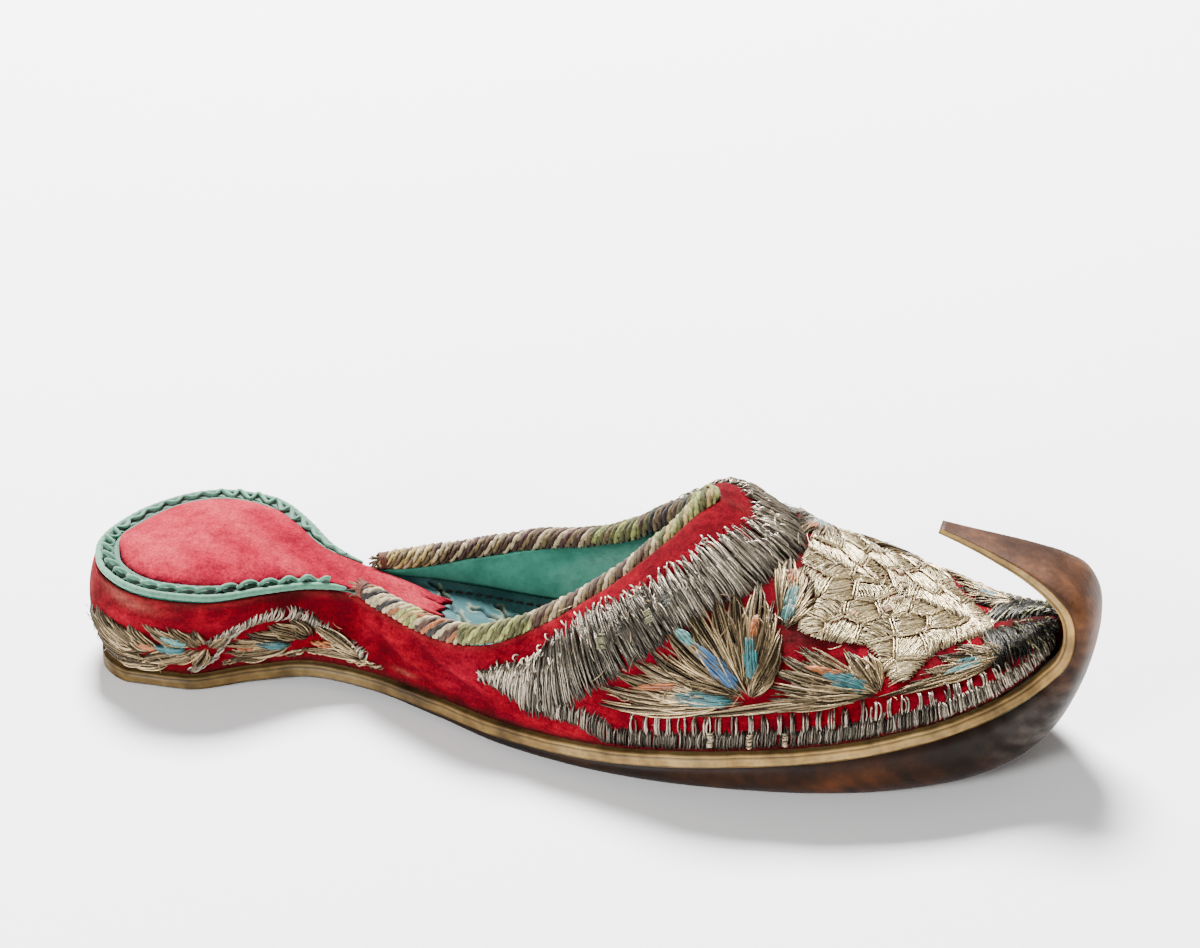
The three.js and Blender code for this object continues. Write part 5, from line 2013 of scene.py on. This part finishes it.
@dataclass
class Insole:
    """Leather sock over the inside floor, with its stitch lines and splits."""

    SPLITS = [
        [(82, 11.0), (86, 8.0), (89, 5.0), (94, 0.5)],
        [(93, 8.0), (96, 8.6), (100, 7.4)],
        [(98, 13.0), (102, 10.4), (107, 10.0)],
        [(101, 8.8), (104, 12.4), (108, 15.0)],
        [(104, -5.0), (110, -3.4), (117, -4.6), (124, -3.0), (131, -6.0)],
        [(119, -4.4), (123, 0.5), (129, 2.5), (133, 1.6)],
    ]
    SEAMS = [
        [(84, 8.6), (92, 13.6), (106, 19.4), (120, 23.4), (138, 27.0)],
        [(100, -16.0), (116, -20.5), (136, -24.5)],
    ]

    stations: int = 230
    across: int = 76
    thick: float = 1.5
    leather: Leather = Leather(
        "sock_leather", (0.02, 0.07, 0.078), (0.06, 0.16, 0.165), (0.16, 0.27, 0.25), 0.7, 0.0, 1400, 0.00014
    )
    thread: Yarn = Yarn("sock_thread", 0.0, 0.8)

    @staticmethod
    def near(points: Array, line: Sequence[tuple[float, float]]) -> Array:
        """Distance of points from a line of knots, seen from above."""
        best = np.full(points.shape[:-1], 1e9)
        knots = np.array(line, float)
        for first, last in zip(knots[:-1], knots[1:]):
            run = last - first
            t = np.clip(((points[..., :2] - first) @ run) / (run @ run), 0, 1)
            gap = np.linalg.norm(points[..., :2] - first - t[..., None] * run, axis=-1)
            best = np.minimum(best, gap)
        return best

    def build(self) -> list[bpy.types.Object]:
        """Builds the sock and its stitches."""
        bed = RowCurve(BED_ROWS, np.array([row.x for row in BED_ROWS]))
        fine = self.stations * 2 // 3
        where = np.concatenate([
            np.linspace(BED_ROWS[0].x, 80, (self.stations - fine) // 3 + 1)[:-1],
            np.linspace(80, 134, fine),
            np.linspace(134, BED_ROWS[-1].x, self.stations - fine - (self.stations - fine) // 3 + 1)[1:],
        ])
        row = bed.at(where)
        share = np.linspace(-1, 1, self.across)
        y = row["half"][:, None] * share
        z = row["z"][:, None] + row["lift"][:, None] * np.abs(share) ** 3
        x = np.repeat(row["x"][:, None], self.across, 1)
        top = np.stack([x, y, z], -1)
        low = top - [0, 0, self.thick]
        warp = top + np.stack([0.5 * np.sin(y * 2.1), 0.5 * np.sin(x * 1.7), y * 0], -1)
        split = np.min([self.near(warp, line) for line in self.SPLITS], axis=0)
        top[..., 2] += 0.3 * np.exp(-((split - 1.0) / 0.4) ** 2) - 0.6 * np.exp(-((split / 0.5) ** 2))
        # The splits are painted dark, as shade inside the cracks.
        tone = np.ones((*split.shape, 3)) - 0.95 * np.exp(-((split / 0.55) ** 2))[..., None]
        tan = np.exp(-((split - 1.05) / 0.35) ** 2) * (np.sin(x * 0.9) > 0.0)
        tone = tone + tan[..., None] * [3.6, 0.9, 0.2]
        # Painted shade towards the sides, where the floor meets the wall.
        tone *= (1 - 0.35 * smoothstep(0.8, 1.0, np.abs(share)))[None, :, None]
        under = low[:, ::-15]
        rings = np.concatenate([top, under], 1)
        tints = np.concatenate([tone, np.ones(under.shape)], 1)
        count = rings.shape[1]
        faces = MeshKit.grid_faces(self.stations, count, wrap=True)
        ends = [MeshKit.end_fan(0, count, False), MeshKit.end_fan((self.stations - 1) * count, count, True)]
        piece = MeshKit.make(
            "insole_leather", rings.reshape(-1, 3), np.concatenate([faces, *ends]), [self.leather.make()], None,
            tints.reshape(-1, 3), True,
        )
        return [attach(piece, "sock_leather", "insole"), self.stitches(bed)]

    def stitches(self, bed: RowCurve) -> bpy.types.Object:
        """Dark running stitches along the seams."""
        pile = Bundle()
        for seam in self.SEAMS:
            knots = np.array([(*place, 0.0) for place in seam])
            line = resample(knots, 400)
            row = bed.at(line[:, 0])
            share = np.abs(line[:, 1]) / row["half"]
            line[:, 2] = row["z"] + row["lift"] * share**3
            for first in range(0, 390, 17):
                dash = line[first : first + 11].copy()
                dash[:, 2] += 0.28 * np.sin(np.linspace(0, math.pi, 11)) - 0.02
                pile.add_rings(tube_points(dash, 0.34, 6), np.full((11, 3), 0.012))
        return attach(pile.make("insole_stitches", self.thread.make()), "sock_leather")


@dataclass
class HeelPad:
    """Domed velvet cushion over the heel seat with its tongue."""

    stations: int = 180
    across: int = 45
    wider: float = 1.7
    ragged: float = 1.5
    velvet: Velvet = Velvet(
        "faded_velvet", (0.13, 0.001, 0.010), (0.28, 0.005, 0.022), (0.37, 0.022, 0.045), worn=(0.40, 0.036, 0.052), sheen=0.06
    )

    def build(self) -> bpy.types.Object:
        """Builds the cushion."""
        stops = walked(PAD_ROWS, "x", "half")
        row = RowCurve(PAD_ROWS, stops, ["half"]).at(np.linspace(0, stops[-1], self.stations))
        row = {name: value[:, None] for name, value in row.items()}
        share = np.linspace(0, 1, self.stations)[:, None]
        wider = np.interp(row["x"], [9.4, 30, 39, 48, 55, 64, 74, 87], [2.1, 2.1, 2.5, 3.7, 2.9, 1.7, 0.9, 0.6])
        half = row["half"] + wider * smoothstep(0, 0.02, share)
        angle = np.linspace(0, math.pi, self.across)[None]
        out = np.sign(np.cos(angle)) * np.abs(np.cos(angle)) ** 0.6
        climb = np.sin(angle) ** 0.9
        rim = np.minimum(0.8, row["crown"] * 0.5)
        y = half * out
        x = row["x"] - self.wider * smoothstep(0.07, 0, share) * (0.6 + 0.4 * np.abs(climb))
        torn = np.sin(y * 1.9) + 0.6 * np.sin(y * 4.3 + 1) + 0.4 * np.sin(y * 7.1)
        x = x + self.ragged * smoothstep(0.93, 1.0, share) * torn
        z = row["under"] + rim + (row["crown"] - rim) * climb
        dents = 0.14 * np.sin(x / 5.2 + y / 4.1) + 0.1 * np.sin(x / 2.3 - y / 3.2 + 1) + 0.1 * np.sin(y / 2.1)
        z = z + dents * climb * smoothstep(0.0, 0.08, share)
        top = np.stack(np.broadcast_arrays(x, y, z), -1)
        low = top.copy()
        low[..., 2] = row["under"]
        low[..., 1] = low[..., 1] * np.maximum(0, 1 - 0.4 / np.maximum(half, 0.5))
        rings = np.concatenate([top, low[:, ::-1]], 1)
        count = rings.shape[1]
        faces = MeshKit.grid_faces(self.stations, count, wrap=True)
        end = MeshKit.end_fan((self.stations - 1) * count, count, True)
        points = rings.reshape(-1, 3)
        piece = MeshKit.make(
            "heel_cushion", points, np.concatenate([faces, end]), [self.velvet.make()], None,
            self.marks(points), True,
        )
        return attach(piece, "pad_velvet", "heel_pad")

    @staticmethod
    def marks(points: Array) -> Array:
        """Marks of the cushion at each point: even light, how worn, and its slit painted dark as shade."""
        x, y = points[:, 0], points[:, 1]
        streak = np.sin(x / 7.5 + 1.4 * np.sin(y / 6.0)) * np.cos(y / 8.5 + x / 21)
        worn = 0.3 + 0.42 * streak + 0.2 * np.sin(x / 3.1 + y / 2.2)
        # The slit is painted dark, as shade inside it.
        slit = np.exp(-(((x - 76.5) / 1.3) ** 4) - ((y + 3.5) / 0.5) ** 4)
        return np.stack([np.ones(len(points)), np.clip(worn, 0, 0.9), 0.95 * slit], -1)


class CordRow(NamedTuple):
    """One stretch of the collar cord: where it ends, from 0 to 1, and its four plies' colours."""

    until: float
    plies: tuple[Colour, Colour, Colour, Colour]


@dataclass
class CollarCord:
    """Braided cord bound over the collar."""

    CREAM = (0.50, 0.385, 0.21)
    BEIGE = (0.16, 0.105, 0.042)
    BROWN = (0.06, 0.022, 0.009)
    DARK = (0.012, 0.007, 0.005)
    ORANGE = (0.32, 0.10, 0.025)
    PALE_GREEN = (0.30, 0.31, 0.085)
    OLIVE = (0.095, 0.09, 0.02)
    PLUM = (0.075, 0.022, 0.02)
    YELLOW = (0.42, 0.30, 0.10)

    FAR = [
        CordRow(0.13, (YELLOW, BEIGE, YELLOW, CREAM)),
        CordRow(0.56, (CREAM, BROWN, BEIGE, PLUM)),
        CordRow(0.72, (OLIVE, PALE_GREEN, OLIVE, BEIGE)),
        # This stretch is painted darker, as the shade that falls on it.
        CordRow(0.93, (BROWN, BEIGE, DARK, OLIVE)),
        CordRow(1.01, (PALE_GREEN, OLIVE, PALE_GREEN, YELLOW)),
    ]
    NEAR = [
        CordRow(0.03, (BROWN, DARK, BROWN, PLUM)),
        CordRow(0.15, (CREAM, DARK, CREAM, ORANGE)),
        CordRow(0.21, (PALE_GREEN, YELLOW, PALE_GREEN, CREAM)),
        CordRow(0.33, (CREAM, BROWN, ORANGE, DARK)),
        CordRow(0.5, (OLIVE, PALE_GREEN, OLIVE, PALE_GREEN)),
        CordRow(0.84, (CREAM, BEIGE, BROWN, BEIGE)),
        CordRow(1.01, (PALE_GREEN, OLIVE, YELLOW, PALE_GREEN)),
    ]

    form: WallForm
    radius: float = 2.7
    start: float = 2.5
    throat_rise: float = 1.2
    settle: float = 0.5
    samples: int = 16
    pitch: float = 13.5
    plies: int = 7
    yarns: int = 2
    steps: int = 560
    sides: int = 5
    yarn: Yarn = Yarn("cord_yarn", 0.0, 0.85, 0.06, 0.5, 2600, 0.00016)

    def line(self, count: int) -> Array:
        """Middle line of the cord, from the far side of the neck over the throat to the near side."""
        half = self.form.rim_line(
            self.form.neck + self.start, self.form.throat, self.radius + RIM_GAP - self.settle, self.samples
        )
        half[-1, 1] = 0
        half[-1, 2] += self.throat_rise
        knots = np.concatenate([half, mirrored(half[-2::-1])])
        return resample(knots, count)

    def colour(self, share: Array, ply: int) -> Array:
        """Colour of one ply along the cord.

        Args:
            share: place along the cord, 0 at the far end and 1 at the near end.
            ply: the ply's number.

        Returns:
            A colour for each place.
        """
        made = np.zeros((len(share), 3))
        for rows, place in ((self.FAR, share * 2), (self.NEAR, (1 - share) * 2)):
            ends = np.array([row.until for row in rows])
            which = np.searchsorted(ends, np.clip(place, 0, 1))
            picked = np.array([row.plies[ply % 4] for row in rows])[which]
            here = (place <= 1)[:, None]
            made = np.where(here, picked, made)
        return made

    def build(self) -> bpy.types.Object:
        """Builds the cord from yarns twisted into plies, with a whipping and frayed ends."""
        path = self.line(self.steps)
        length = np.concatenate([[0], np.cumsum(np.linalg.norm(np.diff(path, axis=0), axis=1))])
        share = length / length[-1]
        tangent = unit(np.gradient(path, axis=0))
        up = np.zeros_like(path)
        current = np.array([0.0, 0.0, 1.0])
        for i, along in enumerate(tangent):
            current = current - along * current.dot(along)
            current /= np.linalg.norm(current)
            up[i] = current
        across = np.cross(tangent, up)
        pile = Bundle()
        uneven = 1 + 0.06 * np.sin(length / 5.3) + 0.05 * np.sin(length / 2.1 + 1)
        slim = 0.62 + 0.38 * smoothstep(0, 6, np.minimum(length, length[-1] - length))
        uneven = uneven * slim
        for ply in range(self.plies):
            angle = length / self.pitch * 2 * math.pi + ply / self.plies * 2 * math.pi
            outward = np.cos(angle)[:, None] * across + np.sin(angle)[:, None] * up
            sideways = np.cross(tangent, outward)
            middle = path + outward * (self.radius * 0.64 * uneven)[:, None]
            tone = self.colour(share, ply)
            for yarn in range(self.yarns):
                turn = -length / 4.5 * 2 * math.pi + yarn / self.yarns * 2 * math.pi
                reach = self.radius * 0.15
                place = middle + reach * (np.cos(turn)[:, None] * outward + np.sin(turn)[:, None] * sideways)
                wobble = RNG.normal(0, 0.03, place.shape)
                rings = tube_points(place + wobble, self.radius * 0.215 * slim, self.sides, 1.0, outward)
                flecks = RNG.uniform(0.6, 1.15, (len(path), 1)) * RNG.uniform(0.7, 1.05)
                pile.add_rings(rings, tone * flecks)
        for end in (0, -1):
            self.whip(pile, path, tangent, up, across, end)
        return attach(pile.make("collar_cord_plies", self.yarn.make()), "braided_cord", "collar_cord")

    def whip(self, pile: "Bundle", path: Array, tangent: Array, up: Array, across: Array, end: int) -> None:
        """Binds one end of the cord with thread and lets a few fibres out.

        Args:
            pile: what the threads are added to.
            path: the cord's middle line.
            tangent: its direction at each point.
            up: one side of it at each point.
            across: the other side.
            end: 0 or -1, the end that is bound.
        """
        inward = tangent[end] * (1 if end == 0 else -1)
        t = np.linspace(0, 1, 150)
        angle = t * 4 * 2 * math.pi
        around = np.cos(angle)[:, None] * across[end] + np.sin(angle)[:, None] * up[end]
        turns = path[end] + inward * (0.2 + 1.7 * t)[:, None] + around * self.radius * 0.66
        tone = np.array((0.11, 0.03, 0.014)) * RNG.uniform(0.7, 1.5, (150, 1))
        pile.add_rings(tube_points(turns, 0.26, 6), tone)
        for _ in range(22):
            angle = RNG.uniform(0, 2 * math.pi)
            out = math.cos(angle) * across[end] + math.sin(angle) * up[end]
            root = path[end] + out * self.radius * RNG.uniform(0.1, 0.8)
            reach = RNG.uniform(0.7, 1.9)
            t = np.linspace(0, 1, 7)[:, None]
            fibre = root + (out * 0.6 * t**2 - inward * t - np.array([0, 0, 0.35]) * t**2) * reach
            tone = np.array(self.BEIGE if RNG.random() < 0.6 else self.BROWN)
            pile.add_rings(tube_points(fibre, 0.16, 5), np.repeat(tone[None], 7, 0))


@dataclass
class Bundle:
    """Tubes gathered until they become one mesh."""

    points: list[Array] = field(default_factory=list)
    faces: list[Array] = field(default_factory=list)
    tints: list[Array] = field(default_factory=list)
    count: int = 0

    def add_rings(self, rings: Array, tint: Array) -> None:
        """Adds one tube.

        Args:
            rings: its points, steps by sides by 3.
            tint: its colour at each step.
        """
        steps, sides = rings.shape[:2]
        faces = [MeshKit.grid_faces(steps, sides, wrap=True, start=self.count)]
        if sides % 2 == 0:
            faces.append(MeshKit.end_fan(self.count, sides, False))
            faces.append(MeshKit.end_fan(self.count + (steps - 1) * sides, sides, True))
        self.faces.append(np.concatenate(faces))
        self.points.append(rings.reshape(-1, 3))
        self.tints.append(np.repeat(tint, sides, axis=0))
        self.count += steps * sides

    def add_grid(self, grid: Array, tint: Array) -> None:
        """Adds an open sheet, rows by columns by 3, in one colour."""
        rows, columns = grid.shape[:2]
        self.faces.append(MeshKit.grid_faces(rows, columns, start=self.count))
        self.points.append(grid.reshape(-1, 3))
        self.tints.append(np.broadcast_to(tint, (rows * columns, 3)))
        self.count += rows * columns

    def make(self, name: str, finish: bpy.types.Material) -> bpy.types.Object:
        """Makes one object of all that was added."""
        points, faces = np.concatenate(self.points), np.concatenate(self.faces)
        LOG.info("%s: %d faces", name, len(faces))
        return MeshKit.make(name, points, faces, [finish], None, np.concatenate(self.tints))


@dataclass
class HeelTrim:
    """Green pipings and the gathered ribbon round the heel seat."""

    form: WallForm
    piping_radius: float = 0.85
    trim_radius: float = 0.7
    waves: int = 31
    steps: int = 620
    cloth: Yarn = Yarn("green_trim", 0.0, 0.75, 0.25, 0.35, 1500)
    green: Colour = (0.018, 0.105, 0.06)
    light: Colour = (0.05, 0.19, 0.115)

    def seat_line(self, inset: float, last: float, lift: float, short: float, count: int) -> Array:
        """Line round the heel seat, set in from the wall's top edge.

        Args:
            inset: distance inside the edge.
            last: distance inside the edge where it ends at the neck.
            lift: height over the edge.
            short: how far before the neck it ends.
            count: number of points.

        Returns:
            Points from the far side round the heel to the near side.
        """
        probe = self.form.probe
        stop = np.linspace(0, self.form.neck - short, 60)
        row = self.form.curve.at(stop)
        before, after = self.form.curve.at(np.maximum(0, stop - probe)), self.form.curve.at(stop + probe)
        along = unit(np.stack([after["x"] - before["x"], after["half"] - before["half"]], -1))
        along[0] = [0, 1]
        inset = inset + (last - inset) * smoothstep(self.form.neck - 22, self.form.neck - 4, stop)
        y = row["half"] - along[:, 0] * inset
        y[0] = 0
        half = np.stack([row["x"] + along[:, 1] * inset, y, row["z"] + lift], -1)
        return resample(np.concatenate([mirrored(half[:0:-1]), half]), count)

    def shades(self, count: int, base: Colour) -> Array:
        """Uneven tones of one colour along a piece."""
        slow = 1 + 0.16 * np.sin(np.arange(count) / 23.0) + RNG.normal(0, 0.05, count)
        return np.array(base) * slow[:, None]

    def build(self) -> list[bpy.types.Object]:
        """Builds both pipings and the ribbon."""
        finish = self.cloth.make()
        made = []
        low, high = self.piping_radius, self.trim_radius
        for name, node, inset, last, lift, short, radius, colour in (
            ("piping_lower", "heel_piping_lower", 1.0, 1.0, low + RIM_GAP, 0.5, low, self.light),
            ("piping_upper", "heel_piping_upper", 5.2, 2.7, 1.3, 3.0, high, self.green),
        ):
            path = self.seat_line(inset, last, lift, short, 420)
            pile = Bundle()
            ends = np.minimum(np.arange(420), np.arange(420)[::-1]) / 12.0
            wrap = (1 + 0.05 * np.sin(np.arange(420) / 420 * 260 * 2)) * (0.3 + 0.7 * np.clip(ends, 0, 1) ** 0.5)
            pile.add_rings(tube_points(path, radius * wrap, 10), self.shades(420, colour))
            made.append(attach(pile.make(name, finish), "green_piping", node))
        made.append(self.ribbon(finish))
        return made

    def ribbon(self, finish: bpy.types.Material) -> bpy.types.Object:
        """The gathered ribbon: a waved strip with a cord snaking over it."""
        steps = self.steps
        outer = self.seat_line(2.0, 1.6, 0.35, 4, steps)
        inner = self.seat_line(4.5, 2.4, 0.35, 4, steps)
        phase = np.arange(steps) / steps * self.waves * 2 * math.pi
        phase = phase + 0.5 * np.sin(phase / 7.3)
        swell = 0.75 + 0.35 * np.sin(phase / 11.0) + 0.15 * np.sin(phase / 3.7)
        ruffled = swell * (0.3 + 0.7 * smoothstep(9, -9, outer[:, 1]))
        sheets = []
        for lift in (0.0, 0.35):
            rows = []
            for w in np.linspace(0, 1, 7):
                edge = abs(2 * w - 1)
                rise = 1.0 + lift + 1.15 * ruffled * np.sin(phase + 1.6 * w) * (0.35 + 0.65 * edge)
                rows.append(outer * (1 - w) + inner * w + np.array([0, 0, 1]) * rise[:, None])
            sheets.append(np.stack(rows, 1))
        ring = np.concatenate([sheets[0], sheets[1][:, ::-1]], 1)
        pile = Bundle()
        # Painted shade in the troughs of the ribbon's waves, lighter on the crests.
        crest = 0.55 + 0.45 * np.sin(phase)
        pile.add_rings(ring, self.shades(steps, self.green) * crest[:, None])
        snake = (outer + inner) / 2 + (outer - inner) * (0.46 * np.sin(phase) * swell)[:, None]
        snake = snake + np.array([0, 0, 1]) * (2.0 + 0.85 * ruffled * np.sin(phase + 0.7))[:, None]
        pile.add_rings(tube_points(snake, 0.52, 6), self.shades(steps, self.light))
        return attach(pile.make("heel_ribbon", finish), "green_ribbon", "heel_frill")


@dataclass
class Studio:
    """Floor, soft lights and the camera at the photo's angle."""

    camera_place: tuple[float, float, float] = (295.9, -686.4, 418.0)
    camera_aim: tuple[float, float, float] = (-0.2135, 0.8653, -0.4535)
    lens: float = 103.6
    floor: Ground = Ground("floor", (0.93, 0.93, 0.93))
    sky: tuple[float, float] = (0.16, 0.32)

    def build(self) -> None:
        """Builds the whole studio."""
        scene = bpy.context.scene
        camera = bpy.data.cameras.new("camera")
        camera.lens = self.lens
        camera.sensor_width = 36
        holder = bpy.data.objects.new("camera", camera)
        x, y, z = self.camera_place
        holder.location = ((x - ORIGIN_FROM_HEEL) * MM, y * MM, z * MM)
        holder.rotation_euler = Vector(self.camera_aim).to_track_quat("-Z", "Y").to_euler()
        scene.collection.objects.link(holder)
        scene.camera = holder
        size = 6.0
        corners = np.array([[-1, -1, 0], [1, -1, 0], [1, 1, 0], [-1, 1, 0]]) * size / MM
        corners[:, 0] += ORIGIN_FROM_HEEL
        ground = MeshKit.make("floor", corners, np.array([[0, 1, 2, 3]]), [self.floor.make()])
        self.light("key", (-0.7, -1.35, 0.55), 0.4, 40)
        self.light("fill", (1.3, -0.9, 0.45), 0.9, 4)
        self.light("top", (-0.35, 0.95, 1.4), 0.55, 178)
        world = bpy.data.worlds.new("studio")
        scene.world = world
        world.use_nodes = True
        tree = world.node_tree
        height = tree.nodes.new("ShaderNodeSeparateXYZ")
        place = tree.nodes.new("ShaderNodeTexCoord")
        tree.links.new(place.outputs["Generated"], height.inputs[0])
        rising = tree.nodes.new("ShaderNodeMapRange")
        rising.inputs["From Min"].default_value = 0.0
        rising.inputs["From Max"].default_value = 0.9
        rising.inputs["To Min"].default_value, rising.inputs["To Max"].default_value = self.sky
        tree.links.new(height.outputs["Z"], rising.inputs["Value"])
        tree.links.new(rising.outputs[0], tree.nodes["Background"].inputs["Strength"])
        tree.nodes["Background"].inputs["Color"].default_value = (1, 1, 1, 1)

    def light(self, name: str, place: tuple[float, float, float], size: float, power: float) -> None:
        """Adds a square area light that looks at the shoe.

        Args:
            name: the light's name.
            place: where it hangs, in metres.
            size: its side, in metres.
            power: its power in watts.
        """
        lamp = bpy.data.lights.new(name, "AREA")
        lamp.size = size
        lamp.energy = power
        holder = bpy.data.objects.new(name, lamp)
        holder.location = place
        holder.rotation_euler = (-Vector(place)).to_track_quat("-Z", "Y").to_euler()
        bpy.context.scene.collection.objects.link(holder)


def main() -> None:
    """Builds the shoe piece by piece."""
    logging.basicConfig(level=logging.INFO, format="%(message)s")
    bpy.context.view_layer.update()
    sole, = (SoleForm(),)
    wall = WallForm(sole)
    filling = Leather("heel_filling", (0.05, 0.004, 0.008), (0.11, 0.008, 0.014), (0.16, 0.02, 0.03), 0.9, 0.0).make()
    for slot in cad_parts["heel_block"].material_slots:
        slot.material = filling
    relief = Relief((*CREASES, *PADDING))
    parts = (
        Outsole(sole),
        Upper(wall, relief),
        VampWork(wall, relief),
        HeelWork(wall, relief),
        Insole(),
        HeelPad(),
        CollarCord(wall),
        HeelTrim(wall),
        Studio(),
    )
    for part in parts:
        part.build()
        LOG.info("built %s", type(part).__name__)


if __name__ == "__main__":
    main()
